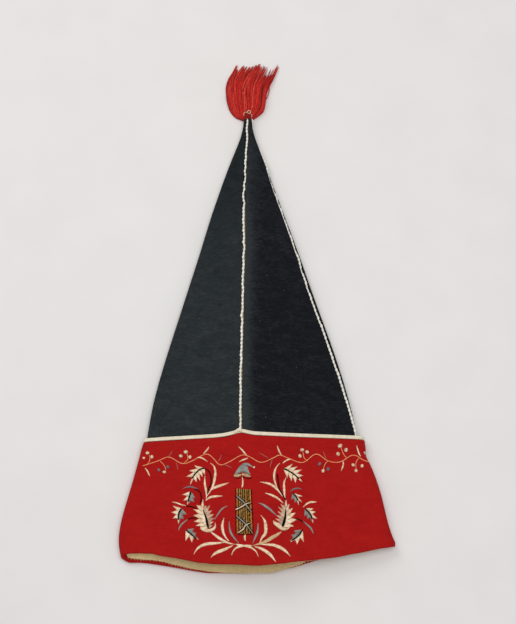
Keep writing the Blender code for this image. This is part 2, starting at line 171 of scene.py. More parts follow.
# Plain-woven linen, unbleached: slubs in both directions and faint yellowing
def plainLinen(name, look):
    made, tree, shader, where = newMaterial(name, {"Roughness": 0.85, "Specular IOR Level": 0.3})
    stains = addNode(tree, "ShaderNodeTexNoise", {"Scale": 1 / (30 * mm), "Detail": 3.0}, {"Vector": where})
    slub = addNode(tree, "ShaderNodeTexNoise", {"Scale": 1 / (2 * mm), "Detail": 4.0}, {"Vector": where})
    weave = crossThreads(tree, where, look["thread"], Distortion=0.8, Detail=1.0)
    tone = blend(tree, 0.0, (stains, 0.28), (slub, 0.56), (weave, 0.168))
    colourAndRoughen(tree, shader, tone, look["colours"], weave, 0.6, 0.25 * mm)
    return made


# Spun wool or cotton thread: soft and matt, with fine fibres along it
def spunThread(name, look):
    made, tree, shader, where = newMaterial(
        name,
        {
            "Roughness": 0.8,
            "Sheen Weight": look.get("sheen", 0.15),
            "Sheen Roughness": 0.4,
            "Specular IOR Level": look.get("gloss", 0.3),
        },
    )
    fibreSize = {"Scale": 1 / (0.4 * mm), "Detail": 3.0, "Distortion": 0.6}
    fibre = addNode(tree, "ShaderNodeTexNoise", fibreSize, {"Vector": where})
    patchSize = {"Scale": 1 / look.get("patch", 5 * mm), "Detail": 3.0}
    patches = addNode(tree, "ShaderNodeTexNoise", patchSize, {"Vector": where})
    tone = blend(tree, 0.0, (fibre, 0.375), (patches, 0.625))
    colourAndRoughen(tree, shader, tone, look["colours"], fibre, 0.5, 0.12 * mm)
    return made


woolLook = {
    "patchStep": 0.5,
    "napStep": 0.75,
    "weaveStep": 0.12,
    "napHeight": 0.35 * mm,
    "sheen": 0.04,
    "sheenColour": "8A9292",
}
# the right panels' wool is darker and bluer than the left's: partly a tint of its own, partly painted shade
# on the side that faces away from the light
leftWool = fulledWool(
    "fulledWoolLeft", {**woolLook, "colours": ((0.15, "191E21"), (0.5, "282D2F"), (0.85, "3D4141"))}
)
rightWoolWithPaintedShade = fulledWool(
    "fulledWoolRightWithPaintedShade",
    {
        **woolLook,
        "colours": ((0.15, "0C0D11"), (0.5, "15171C"), (0.85, "303435")),
        "patchStep": 0.4,
        "napStep": 0.7,
        "sheen": 0.03,
        "sheenColour": "7C828A",
    },
)
redWool = fulledWool(
    "fulledWoolRed",
    {
        **woolLook,
        "colours": ((0.15, "921111"), (0.5, "A61614"), (0.85, "B61F1A")),
        "napStep": 0.6,
        "napHeight": 0.3 * mm,
        "sheen": 0.02,
        "sheenColour": "D88070",
    },
)
creamLinen = plainLinen(
    "unbleachedLinen", {"colours": ((0.2, "C6AB78"), (0.5, "E4CB96"), (0.8, "F2DFB6")), "thread": 1.1 * mm}
)
creamCord = spunThread("creamPipingCord", {"colours": ((0.2, "CCC5B0"), (0.5, "EBE7DA"), (0.8, "FAF8F0"))})
creamTape = spunThread("creamTape", {"colours": ((0.2, "D2C6A9"), (0.5, "E8DDC3"), (0.8, "F5EEDB"))})
# four red yarns; the palest serves as painted highlight, and the deepest partly as painted shade on the lower
# strands
tasselYarns = [
    spunThread(name, {"colours": colours, "patch": 2.2 * mm, "sheen": 0.05})
    for name, colours in (
        ("lightRedYarn", ((0.2, "C81C12"), (0.5, "DC2C1C"), (0.8, "F26C54"))),
        ("middleRedYarn", ((0.2, "A60D09"), (0.5, "BE140D"), (0.8, "D02216"))),
        ("deepRedYarn", ((0.2, "7A0706"), (0.5, "900A07"), (0.8, "A6120D"))),
        ("paintedHighlightRedYarn", ((0.2, "D0362A"), (0.5, "E04E3C"), (0.8, "EE8672"))),
    )
]
threadLooks = {
    "ivory": ((0.32, "C4A682"), (0.5, "EED2AE"), (0.68, "FFF2DC")),
    "blush": ((0.32, "9E7A62"), (0.5, "CDA78A"), (0.68, "E8CEB4")),
    # painted shade: a darker thread laid where shade falls between a jagged leaf's tips
    "paintedShade": ((0.2, "6E5A42"), (0.5, "8E7858"), (0.8, "AA9674")),
    "grey": ((0.2, "6C6E6A"), (0.5, "92948D"), (0.8, "B8B8AE")),
    "dusk": ((0.2, "5E5356"), (0.5, "7E7378"), (0.8, "948C90")),
    "dark": ((0.2, "070404"), (0.5, "0D0807"), (0.8, "18100D")),
    "umber": ((0.2, "220807"), (0.5, "380E0B"), (0.8, "521A14")),
    "gold": ((0.25, "7E5C1A"), (0.5, "BA8F3A"), (0.75, "DEBC6C")),
    "tan": ((0.2, "B08E60"), (0.5, "D2B284"), (0.8, "E8D0A8")),
    "coral": ((0.2, "D4744A"), (0.5, "F0A06C"), (0.8, "FFC898")),
    "rose": ((0.2, "9C3834"), (0.5, "B25A50"), (0.8, "C47668")),
}
# the two darkest wools are matt, so that they stay dark against the ivory
dullThreads = ("dark", "umber")
threadMaterials = {
    name: spunThread(
        f"{name}CrewelWool",
        {
            "colours": colours,
            "patch": 3 * mm,
            "sheen": 0.0 if name in dullThreads else 0.12,
            "gloss": 0.04 if name in dullThreads else 0.3,
        },
    )
    for name, colours in threadLooks.items()
}
print("materials made")


# Shared mesh steps
def makeActive(piece):
    if bpy.context.mode != "OBJECT":
        bpy.ops.object.mode_set(mode="OBJECT")
    bpy.ops.object.select_all(action="DESELECT")
    piece.select_set(True)
    bpy.context.view_layer.objects.active = piece


def pointsOf(mesh):
    points = np.empty(len(mesh.vertices) * 3)
    mesh.vertices.foreach_get("co", points)
    return points.reshape(-1, 3)


def setPoints(mesh, points):
    mesh.vertices.foreach_set("co", np.asarray(points, np.float32).ravel())
    mesh.update()


def addPiece(name, mesh):
    piece = bpy.data.objects.new(name, mesh)
    bpy.context.scene.collection.objects.link(piece)
    makeActive(piece)
    return piece


def settlePiece(piece, slot, *nodes):
    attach(piece, "root")
    if nodes:
        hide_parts(*nodes)


# a bank gathers the points and faces of many threads, which pieceFrom makes one piece
def newBank():
    return {"points": [], "faces": []}


def pieceFrom(bank, name, material, slot, *nodes):
    mesh = bpy.data.meshes.new(name)
    mesh.from_pydata([tuple(p) for p in bank["points"]], [], bank["faces"])
    mesh.materials.append(material)
    piece = addPiece(name, mesh)
    bpy.ops.object.shade_smooth()
    settlePiece(piece, slot, *nodes)


def smoothStep(low, high, value):
    share = np.clip((value - low) / (high - low), 0, 1)
    return share * share * (3 - 2 * share)


# Lie of the cloth: soft folds that every layer shares, so that none cuts through another
clothLie = {
    "restHeight": 6.5 * mm,
    "freeHeight": 15 * mm,
    "swell": 0.8 * mm,
    "swellSize": 52 * mm,
    "ripple": 0.25 * mm,
    "rippleSize": 15 * mm,
    "hemWander": 0.4 * mm,
    "hemWanderSize": 14 * mm,
    "foldStart": (-107 * mm, -78 * mm),
    "foldEnd": (-99 * mm, -136 * mm),
    "foldHeight": 2.0 * mm,
    "foldWidth": 4.5 * mm,
    "cuffFull": -148 * mm,
    "cuffNone": -140 * mm,
}
# how far the hem's front and back edges stray from the model, as mm across and mm of stray
hemLine = {
    "full": -250 * mm,
    "none": -212 * mm,
    "backHeight": 6.5 * mm,
    "frontHeight": 9.8 * mm,
    "front": (
        (-142, 0.0), (-137, 1.2), (-129, 2.9), (-107, 2.9), (-100, 1.1), (-82, -0.4), (-61, -2.3),
        (-37, -1.5), (-16, 0.0), (20, 0.2), (35, 0.0), (46, -0.4), (70, -0.2), (100, -0.4), (125, -0.1),
        (136, -0.2), (142, -0.6),
    ),
    "back": (
        (-142, 0.0), (-138, -1.8), (-130, -4.2), (-121, -2.8), (-108, -2.0), (-88, -2.0), (-60, -0.9),
        (-20, 0.8), (-5, 1.8), (25, 2.6), (45, 1.8), (58, 2.1), (85, 2.3), (105, 3.2), (140, 4.3),
    ),
}
# how far the cuff's two sides stand out from the model, as mm along the cap and mm out
cuffSides = {
    "start": 100 * mm,
    "end": 135 * mm,
    "left": ((-290, 0.6), (-262, 1.6), (-225, 2.0), (-195, 1.6), (-165, 0.6), (-140, 0.0)),
    "right": (
        (-290, -1.6), (-252, -1.4), (-238, -0.2), (-222, 0.9), (-205, 2.2), (-190, 3.2), (-178, 3.8),
        (-167, 4.6), (-158, 3.4), (-150, 1.4), (-140, 0.0),
    ),
}


# a table's rows are a place and a measure, both in mm unless another unit is given
def readTable(rows, values, placeUnit=mm, unit=mm):
    return np.interp(values, [row[0] * placeUnit for row in rows], [row[1] * unit for row in rows])


def lieOfCloth(points):
    look = clothLie
    points = np.array(points, float)
    free = smoothStep(look["restHeight"], look["freeHeight"], points[:, 2])
    swells = np.empty(len(points))
    ripples = np.empty(len(points))
    wanders = np.empty(len(points))
    for i, (x, y, z) in enumerate(points):
        swells[i] = noise.noise(Vector((x / look["swellSize"], y / (1.4 * look["swellSize"]), 3.7)))
        ripples[i] = noise.noise(Vector((x / look["rippleSize"], y / (1.5 * look["rippleSize"]), 9.1)))
        wanders[i] = noise.noise(Vector((x / look["hemWanderSize"], z / look["hemWanderSize"], 1.3)))
    start = np.array(look["foldStart"])
    along = np.array(look["foldEnd"]) - start
    length = np.linalg.norm(along)
    along = along / length
    side = np.array((-along[1], along[0]))
    off = ((points[:, :2] - start) @ side) / look["foldWidth"]
    down = ((points[:, :2] - start) @ along) / length
    inFold = smoothStep(-0.25, 0.2, down) * (1 - smoothStep(0.85, 1.2, down))
    fold = inFold * (np.exp(-(off ** 2)) - 0.7 * np.exp(-((off + 1.7) ** 2)))
    points[:, 2] += free * (look["swell"] * swells + look["ripple"] * ripples + look["foldHeight"] * fold)
    nearHem = 1 - smoothStep(hemLine["full"], hemLine["none"], points[:, 1])
    front = smoothStep(hemLine["backHeight"], hemLine["frontHeight"], points[:, 2])
    stray = front * readTable(hemLine["front"], points[:, 0])
    stray += (1 - front) * readTable(hemLine["back"], points[:, 0])
    inCuff = 1 - smoothStep(look["cuffFull"], look["cuffNone"], points[:, 1])
    for side, way in (("left", -1), ("right", 1)):
        share = smoothStep(cuffSides["start"], cuffSides["end"], way * points[:, 0]) * inCuff
        points[:, 0] += way * share * readTable(cuffSides[side], points[:, 1])
    points[:, 1] += nearHem * (look["hemWander"] * wanders + stray)
    return points


# Right seam: it lies a little inside the fold, so a strip of the back panel shows outside the cord
rightSeam = {
    "inset": (
        (-130, 0.0), (-100, 0.2), (-66, 0.7), (-29, 0.9), (-3, 1.7), (41, 2.1), (66, 2.2), (98, 1.3),
        (119, 0.6), (160, 0.1), (220, 0.0),
    ),
    "rise": 0.45,
    "reach": 3.6 * mm,
    # the back panel's own fold swells out a little beyond the cord, above the cuff
    "swell": 0.8 * mm,
    "swellHeight": 6 * mm,
    "swellReach": 3.4 * mm,
    "swellIn": 1.5 * mm,
    "swellNone": -135 * mm,
    "swellFull": -120 * mm,
}


def cordMiddle(node):
    points = np.array([tuple(v.co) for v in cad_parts[node].data.vertices])
    points = np.unique(points.round(6), axis=0)
    points = points[np.argsort(points[:, 1])]
    breaks = np.where(np.diff(points[:, 1]) > 2 * mm)[0] + 1
    rings = np.split(points, breaks)
    middles = [ring.mean(axis=0) for ring in rings]
    radii = [np.linalg.norm(ring - middle, axis=1).mean() for ring, middle in zip(rings, middles)]
    return middles, radii


def turnRightSeam(points, fold=False):
    look = rightSeam
    middles = np.array(cordMiddle("seam_piping_right")[0])
    points = np.array(points, float)
    cordX = np.interp(points[:, 1], middles[:, 1], middles[:, 0])
    cordZ = np.interp(points[:, 1], middles[:, 1], middles[:, 2])
    inset = readTable(look["inset"], points[:, 1])
    near = np.exp(-((np.hypot(points[:, 0] - cordX, points[:, 2] - cordZ) / look["reach"]) ** 2))
    if fold:
        out = np.exp(-(((points[:, 2] - look["swellHeight"]) / look["swellReach"]) ** 2))
        out *= smoothStep(cordX, cordX + look["swellIn"], points[:, 0])
        out *= smoothStep(look["swellNone"], look["swellFull"], points[:, 1])
        points[:, 0] += look["swell"] * out
    points[:, 0] -= near * inset
    points[:, 2] += near * inset * look["rise"]
    return points


clothSteps = {"merge": 0.002 * mm, "sharpAngle": math.radians(50), "rounds": 3}


def clothCopy(node, name, crease, material):
    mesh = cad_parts[node].data.copy()
    mesh.materials.clear()
    mesh.materials.append(material)
    piece = addPiece(name, mesh)
    bpy.ops.mesh.customdata_custom_splitnormals_clear()
    bpy.ops.object.mode_set(mode="EDIT")
    bpy.ops.mesh.select_all(action="SELECT")
    bpy.ops.mesh.remove_doubles(threshold=clothSteps["merge"])
    bpy.ops.mesh.tris_convert_to_quads(
        face_threshold=math.pi, shape_threshold=math.pi, topology_influence=1.0
    )
    bpy.ops.mesh.select_all(action="DESELECT")
    bpy.ops.mesh.edges_select_sharp(sharpness=clothSteps["sharpAngle"])
    bpy.ops.transform.edge_crease(value=crease)
    bpy.ops.object.mode_set(mode="OBJECT")
    bpy.ops.object.modifier_add(type="SUBSURF")
    smoother = piece.modifiers[-1]
    smoother.levels = clothSteps["rounds"]
    smoother.render_levels = clothSteps["rounds"]
    bpy.ops.object.modifier_apply(modifier=smoother.name)
    setPoints(piece.data, lieOfCloth(pointsOf(piece.data)))
    bpy.ops.object.shade_smooth()
    return piece


# Crown: four wool panels, their edges rolled into the seams
crownWools = {"left": leftWool, "right": rightWoolWithPaintedShade}
# the front seam's line, and the painted light on the wool: a painted highlight in a band beside the seam on
# the right panels, strongest towards the cuff, and painted shade that darkens the left panels towards the tip
crownPaintedLight = {
    "seam": ((-260, -17), (-127, -18.4), (-69, -18), (-4, -16.8), (63, -15.2), (131, -15.2), (184, -12.6)),
    "bandWidth": 11 * mm,
    "band": ((-140, 0.44), (-60, 0.40), (60, 0.40), (130, 0.25), (200, 0.1)),
    "left": ((-140, 0.02), (-90, 0.0), (0, 0.0), (70, -0.05), (130, -0.2), (200, -0.28)),
    "right": ((-140, 0.02), (-90, 0.0), (0, 0.0), (200, 0.06)),
}


# stores the crown's painted light per point: a painted highlight beside the front seam on the right panels,
# painted shade towards the tip on the left ones
def paintLightOnCrown(mesh, side):
    look = crownPaintedLight
    points = pointsOf(mesh)
    along = points[:, 1]
    share = readTable(look[side], along, unit=1)
    if side == "right":
        off = (points[:, 0] - readTable(look["seam"], along)) / look["bandWidth"]
        share = share + readTable(look["band"], along, unit=1) * np.exp(-(off ** 2))
    mesh.attributes.new("paintedLight", "FLOAT", "POINT").data.foreach_set("value", share.astype(np.float32))


crownPieces = []
for place in ("front", "back"):
    for side, wool in crownWools.items():
        node = f"crown_{place}_{side}"
        panel = clothCopy(node, f"crown{place.capitalize()}{side.capitalize()}", 0.75, wool)
        crownPieces.append(panel)
        if side == "right":
            setPoints(panel.data, turnRightSeam(pointsOf(panel.data), place == "back"))
        paintLightOnCrown(panel.data, side)
        settlePiece(panel, f"dark_wool_{side}", node)
print("crown made")

cuffPiece = clothCopy("cuff", "cuffBand", 0.6, redWool)
settlePiece(cuffPiece, "red_wool", "cuff")
print("cuff made")

# Lining: a linen bag, its edge hemmed down a little inside the red cloth's turned edge
liningLook = {
    "recess": (
        (-140, 5.5), (-134, 5.2), (-127, 3.6), (-119, 2.8), (-106, 3.6), (-95, 3.4), (-86, 2.4), (-73, 1.8),
        (-60, 1.4), (-45, 0.8), (-35, 0.0), (42, 0.3), (48, 2.2), (60, 3.6), (72, 5.0), (85, 6.0),
    ),
    "crease": 0.5 * mm,
    "creaseSize": 7 * mm,
}
liningPiece = clothCopy("lining", "liningBag", 0.3, creamLinen)


def hemLining(mesh):
    look = liningLook
    points = pointsOf(mesh)
    nearHem = 1 - smoothStep(hemLine["full"], hemLine["none"], points[:, 1])
    back = 1 - smoothStep(hemLine["backHeight"], hemLine["frontHeight"], points[:, 2])
    points[:, 1] += nearHem * back * readTable(look["recess"], points[:, 0])
    for i, (x, y, z) in enumerate(points):
        wave = noise.noise(Vector((x / look["creaseSize"], y / (6 * look["creaseSize"]), 4.4)))
        points[i, 2] += nearHem[i] * back[i] * look["crease"] * (0.4 + wave)
    setPoints(mesh, points)


hemLining(liningPiece.data)
settlePiece(liningPiece, "cream_linen", "lining")
print("lining made")


# Swept shapes: a smooth curve through given points, and a section carried along it
def smoothPath(points, step):
    points = [Vector(p) for p in points]
    path = []
    for i in range(len(points) - 1):
        before = points[max(i - 1, 0)]
        start, end = points[i], points[i + 1]
        after = points[min(i + 2, len(points) - 1)]
        count = max(1, round((end - start).length / step))
        for k in range(count):
            t = k / count
            path.append(
                0.5
                * (
                    2 * start
                    + (end - before) * t
                    + (2 * before - 5 * start + 4 * end - after) * t * t
                    + (3 * start - before - 3 * end + after) * t ** 3
                )
            )
    path.append(points[-1])
    return path


# ringAt(i) gives the section's points as (side, up) offsets, and up is upright where ups is None
def sweep(bank, path, ups, ringAt):
    first = len(bank["points"])
    count = 0
    last = len(path) - 1
    for i, centre in enumerate(path):
        along = (path[min(i + 1, last)] - path[max(i - 1, 0)]).normalized()
        up = ups[i] if ups else Vector((0, 0, 1))
        up = (up - along * up.dot(along)).normalized()
        side = along.cross(up)
        ring = ringAt(i)
        count = len(ring)
        for a, b in ring:
            bank["points"].append(centre + side * a + up * b)
    for i in range(last):
        for k in range(count):
            a = first + i * count + k
            b = first + i * count + (k + 1) % count
            bank["faces"].append((a, b, b + count, a + count))
    bank["faces"].append(tuple(first + k for k in range(count))[::-1])
    bank["faces"].append(tuple(first + last * count + k for k in range(count)))


def roundRing(size, sides, flatness=1.0):
    angles = [math.tau * k / sides for k in range(sides)]
    return [(size * math.cos(angle), flatness * size * math.sin(angle)) for angle in angles]


def layThread(bank, path, ups, radius, sides=5, ends=0.5):
    last = len(path) - 1
    sweep(bank, path, ups, lambda i: roundRing(radius * (ends if i in (0, last) else 1.0), sides))


# Piping: a two-ply cream cord caught in each seam, following the CAD cord's middle
piping = {
    "sides": 14,
    "turn": 8.6 * mm,
    "plyOffset": 0.5,
    "plyRadius": 0.57,
    "step": 0.5 * mm,
    "wander": ((-300, 0.5), (-60, 0.7), (60, 1.2), (220, 1.3)),
    "wanderSize": 7 * mm,
    "thin": ((-300, 1.02), (-60, 1.0), (60, 0.94), (220, 0.84)),
    "uneven": 0.22,
    "unevenSize": 4 * mm,
}


def pipingCord(node, name, seed):
    look = piping
    middles, radii = cordMiddle(node)
    path = smoothPath(middles, look["step"])
    whole = [p.y for p in path]
    radiusAt = np.interp(whole, [m[1] for m in middles], radii)
    radiusAt = radiusAt * readTable(look["thin"], whole, unit=1)
    moved = []
    laid = lieOfCloth(path)
    if node == "seam_piping_right":
        laid = turnRightSeam(laid)
    for p in (Vector(place) for place in laid):
        wander = readTable(look["wander"], p.y)
        shift = noise.noise(Vector((p.y / look["wanderSize"], seed, 0.5)))
        dip = noise.noise(Vector((p.y / look["wanderSize"], seed, 7.5)))
        moved.append(p + Vector((wander * shift, 0, 0.3 * wander * dip)))

    def ringAt(i):
        ring = []
        thick = 1 + look["uneven"] * noise.noise(Vector((whole[i] / look["unevenSize"], seed, 2.5)))
        twist = math.tau * (whole[i] - whole[0]) / look["turn"]
        for k in range(look["sides"]):
            angle = math.tau * k / look["sides"]
            off = abs(math.cos(angle - twist))
            reach = look["plyOffset"] * off
            reach += math.sqrt(look["plyRadius"] ** 2 - look["plyOffset"] ** 2 * (1 - off ** 2))
            radius = radiusAt[i] * thick * reach
            ring.append((radius * math.cos(angle), radius * math.sin(angle)))
        return ring

    bank = newBank()
    sweep(bank, moved, None, ringAt)
    pieceFrom(bank, name, creamCord, "cream_cord", node)


for seed, place in enumerate(("front", "right", "back", "left")):
    pipingCord(f"seam_piping_{place}", f"seamCord{place.capitalize()}", seed + 1)
print("piping made")

# Binding: folded tape with a soft channel along it
bindingLook = {
    "channel": 0.8 * mm,
    "channelWidth": 0.26,
    "halfWidth": 2.1 * mm,
    "reach": 3.6 * mm,
    "frontHeight": 5 * mm,
}
bindingPiece = clothCopy("cuff_binding", "cuffTape", 0.0, creamTape)


def pressChannel(mesh):
    look = bindingLook
    points = pointsOf(mesh)
    normals = np.empty(len(mesh.vertices) * 3)
    mesh.vertices.foreach_get("normal", normals)
    normals = normals.reshape(-1, 3)
    middle = np.empty(len(points))
    upper = points[:, 2] > look["frontHeight"]
    # the tape's middle, at each point, is the mean of the points near it on the same side of the cap
    for share in (upper, ~upper):
        xs = points[share, 0]
        ordered = np.argsort(xs)
        firsts = np.searchsorted(xs[ordered], xs - look["reach"])
        ends = np.searchsorted(xs[ordered], xs + look["reach"])
        sums = np.concatenate(([0], np.cumsum(points[share, 1][ordered])))
        middle[share] = (sums[ends] - sums[firsts]) / np.maximum(ends - firsts, 1)
    across = (points[:, 1] - middle) / look["halfWidth"]
    facing = np.abs(normals[:, 2]) ** 2
    depth = look["channel"] * np.exp(-((across / look["channelWidth"]) ** 2)) * facing
    setPoints(mesh, points - normals * depth[:, None])


pressChannel(bindingPiece.data)
settlePiece(bindingPiece, "cream_tape", "cuff_binding")
print("binding made")


# Camera first, since the embroidery is placed by what it sees
def addCamera():
    data = bpy.data.cameras.new("photoCamera")
    data.lens = view["lens"]
    data.sensor_fit = "VERTICAL"
    data.sensor_height = view["sensor"]
    camera = bpy.data.objects.new("photoCamera", data)
    bpy.context.scene.collection.objects.link(camera)
    tilt = view["elevation"]
    camera.location = view["target"] + view["distance"] * Vector((0, -math.cos(tilt), math.sin(tilt)))
    camera.rotation_euler = (math.pi / 2 - tilt, 0, 0)
    bpy.context.scene.camera = camera
    return camera


camera = addCamera()
focalPixels = view["lens"] / view["sensor"] * picture["height"]
viewForward = Vector((0, math.cos(view["elevation"]), -math.sin(view["elevation"])))
viewUp = Vector((0, math.sin(view["elevation"]), math.cos(view["elevation"])))


def treeOf(*pieces):
    points = []
    faces = []
    for piece in pieces:
        base = len(points)
        points.extend(v.co.copy() for v in piece.data.vertices)
        faces.extend(tuple(base + v for v in face.vertices) for face in piece.data.polygons)
    return BVHTree.FromPolygons(points, faces)


cuffTree = treeOf(cuffPiece)


# where the camera's ray through a column and row of the picture meets the cloth
def onCloth(tree, column, row):
    across = (column - picture["width"] / 2) / focalPixels
    up = (picture["height"] / 2 - row) / focalPixels
    direction = (viewForward + Vector((1, 0, 0)) * across + viewUp * up).normalized()
    place, normal, _, _ = tree.ray_cast(camera.location, direction)
    if place is None:
        return None, None
    if normal.dot(direction) > 0:
        normal = -normal
    return place, normal


# Threads and stitches
stitch = {
    "radius": 0.34 * mm,
    "arch": 0.22 * mm,
    "sides": 5,
    # the step from stitch to stitch, and how far its ends stay inside the edge, in pixels of the picture
    "pitch": 0.60,
    "edge": 0.32,
    # a stitch this short or shorter has the number of steps beside it
    "steps": ((4, 3), (9, 4), (1000, 6)),
}
threadBanks = {name: newBank() for name in threadLooks}


def between(start, end, share):
    return start[0] + (end[0] - start[0]) * share, start[1] + (end[1] - start[1]) * share


def layStitch(colour, start, end, lift=0.0, radius=stitch["radius"], arch=stitch["arch"]):
    length = math.hypot(end[0] - start[0], end[1] - start[1])
    count = next(steps for limit, steps in stitch["steps"] if length < limit)
    path = []
    ups = []
    for k in range(count + 1):
        share = k / count
        place, normal = onCloth(cuffTree, *between(start, end, share))
        if place is None:
            return
        sunk = 0.6 * radius if k in (0, count) else 0
        path.append(place + normal * (lift + 0.35 * radius + arch * math.sin(math.pi * share) - sunk))
        ups.append(normal)
    layThread(threadBanks[colour], path, ups, radius, stitch["sides"])


# a route is a smooth curve through chosen points, with the distance to each of its steps
def routeOf(points):
    path = smoothPath([(x, y, 0) for x, y in points], 0.5)
    lengths = [0.0]
    for a, b in zip(path[:-1], path[1:]):
        lengths.append(lengths[-1] + math.hypot(b.x - a.x, b.y - a.y))
    return {"xs": [p.x for p in path], "ys": [p.y for p in path], "lengths": lengths, "whole": lengths[-1]}


def pointOn(route, distance):
    distance = min(max(distance, 0.0), route["whole"])
    x = float(np.interp(distance, route["lengths"], route["xs"]))
    y = float(np.interp(distance, route["lengths"], route["ys"]))
    return x, y


def sideOn(route, distance):
    x0, y0 = pointOn(route, distance - 0.6)
    x1, y1 = pointOn(route, distance + 0.6)
    size = math.hypot(x1 - x0, y1 - y0) or 1.0
    return (y1 - y0) / size, -(x1 - x0) / size


# A stitch that crosses a route from one side to the other, half of it on each side, slanted by a lean
def crossStitch(colour, route, distance, half, lean, **settings):
    nx, ny = sideOn(route, distance)
    x0, y0 = pointOn(route, distance - lean)
    x1, y1 = pointOn(route, distance + lean)
    layStitch(colour, (x0 + nx * half, y0 + ny * half), (x1 - nx * half, y1 - ny * half), **settings)


# A slim leaf or stem in slanted satin stitch, widest at the share given
def satinLeaf(colour, points, width, widest=0.5, lift=0.0, blunt=0.25, slant=1.3):
    route = routeOf(points)
    distance = 0.3
    while distance < route["whole"] - 0.2:
        share = distance / route["whole"]
        if share < widest:
            half = 0.5 * width * (blunt + (1 - blunt) * math.sin(0.5 * math.pi * share / widest))
        else:
            half = 0.5 * width * math.sin(0.5 * math.pi * (1 - share) / (1 - widest)) ** 0.8
        half *= 1 + chance.uniform(-0.06, 0.06)
        inner = max(half - stitch["edge"], 0.12)
        crossStitch(colour, route, distance, inner, slant * half, lift=lift + 0.12 * mm * inner)
        distance += stitch["pitch"] * 1.15


# A line of stem stitch, each stitch beginning beside the one before
def stemLine(colour, points, radius=0.36 * mm, length=3.4, lift=0.0):
    route = routeOf(points)
    distance = 0.0
    while distance < route["whole"] - 0.5:
        nx, ny = sideOn(route, distance)
        x0, y0 = pointOn(route, distance)
        x1, y1 = pointOn(route, distance + length)
        start = (x0 + 0.22 * nx, y0 + 0.22 * ny)
        layStitch(colour, start, (x1 - 0.22 * nx, y1 - 0.22 * ny), lift, radius, 0.1 * mm)
        distance += length * 0.55


# One side of a jagged leaf: stitches run from the rib to an edge of tips and notches
def jaggedSide(colour, rib, tips, web):
    route = routeOf(rib)
    count = len(tips)
    notches = []
    for k in range(count + 1):
        root = pointOn(route, route["whole"] * k / count)
        outer = between(tips[max(k - 1, 0)], tips[min(k, count - 1)], 0.5)
        notches.append(between(root, outer, web if 0 < k < count else 0.5))
    for k, tip in enumerate(tips):
        edge = math.dist(notches[k], tip) + math.dist(tip, notches[k + 1])
        stitches = max(5, round(0.56 * edge / stitch["pitch"]))
        for i in range(stitches):
            share = (i + 0.5) / stitches
            root = pointOn(route, route["whole"] * (k + share) / count)
            if share < 0.5:
                end = between(notches[k], tip, 2 * share)
            else:
                end = between(tip, notches[k + 1], 2 * share - 1)
            layStitch(colour, root, end, arch=0.3 * mm)
    # a thin darker stitch from the rib to each notch paints the shade that falls between the tips
    for k in range(1, count):
        root = pointOn(route, route["whole"] * (k + 0.2) / count)
        layStitch("paintedShade", between(root, notches[k], 0.3), notches[k], 0.3 * mm, 0.28 * mm, 0.3 * mm)


def berry(colour, column, row, radius):
    count = 6
    angle = chance.uniform(0, math.pi)
    along = (math.cos(angle), math.sin(angle))
    for k in range(count):
        off = radius * (2 * (k + 0.5) / count - 1)
        half = math.sqrt(max(radius ** 2 - off ** 2, 0.05))
        x, y = column - along[1] * off, row + along[0] * off
        start = (x - along[0] * half, y - along[1] * half)
        layStitch(colour, start, (x + along[0] * half, y + along[1] * half), 0.25 * mm * half, arch=0.45 * mm)


# Embroidery, in columns and rows of the picture. Widths and lengths without mm are in its pixels too
vineThread = {"vine": 0.38 * mm, "stalk": 0.3 * mm, "stalkStitch": 2.6, "leafWidest": 0.45}
vine = (
    (142.5, 466), (158, 461), (169, 457), (182, 463.6), (192, 461), (206, 454), (213, 458), (220, 465),
    (229, 462), (242, 455), (250, 457), (261, 462.5), (273, 458), (280, 455), (290, 459), (303, 462.5),
    (316, 454), (328, 461), (340, 462), (353, 455), (363, 460), (369, 462),
)
vineStalks = (
    ((147, 465), (150, 460), (149.5, 455)),
    ((160, 461), (164, 465), (166, 470)),
    ((184, 463), (188, 459), (187, 454)),
    ((308, 461), (304, 458), (303, 452)),
    ((328, 461), (325, 464), (323.5, 469)),
    ((347, 458), (344, 455), (341, 448)),
    ((359, 458), (356, 462), (356, 468)),
)
creamBerries = (
    (147.7, 453, 1.7), (144, 458, 1.2), (152, 457, 1.7), (164.5, 472, 1.6), (186, 452, 2.0), (181, 456, 1.8),
    (190, 457, 1.7), (302, 450, 1.8), (307, 452, 1.7), (300, 456, 1.8), (323, 471, 1.7), (340, 446, 2.2),
    (346, 450, 1.9), (338, 454, 1.9), (353, 465, 1.6), (362, 466, 1.6), (356, 470.5, 1.6), (364.6, 453, 1.2),
)
greyBerries = ((159, 470, 1.5), (168, 467, 1.6), (319.5, 464, 1.7), (328, 469, 1.8))
vineLeaves = (
    ("ivory", 2.2, (
        ((145, 468), (148, 472), (150, 476.5)), ((203.5, 454), (207, 450), (209, 446.5)),
        ((197, 457.5), (202, 458), (207.5, 461.5)), ((247, 455.5), (243, 451), (238.5, 446.5)),
        ((248, 458), (244, 459.5), (239, 462)), ((281.5, 455), (278.5, 450), (277, 445.5)),
        ((291, 459), (287, 460), (282.5, 463.5)), ((343, 461), (343, 466), (341, 471)),
        ((360.5, 456.5), (358, 451), (356.5, 445.5)),
    )),
    ("rose", 1.5, (
        ((167, 457.5), (170, 455), (172.5, 450.5)), ((176, 462.5), (177.5, 466), (177.5, 470)),
        ((218, 461.5), (220, 459), (221.5, 454.5)), ((223, 464.5), (227, 465.5), (232, 468)),
        ((259, 453), (263, 455), (268, 458)), ((272.5, 459), (271, 463), (270, 467.5)),
        ((326, 459), (324.5, 455), (323, 451)),
    )),
)
stemLine("coral", vine, vineThread["vine"])
for stalk in vineStalks:
    stemLine("coral", stalk, vineThread["stalk"], vineThread["stalkStitch"])
for colour, berries in (("ivory", creamBerries), ("dusk", greyBerries)):
    for column, row, radius in berries:
        berry(colour, column, row, radius)
for colour, width, leaves in vineLeaves:
    for leaf in leaves:
        satinLeaf(colour, leaf, width, vineThread["leafWidest"])

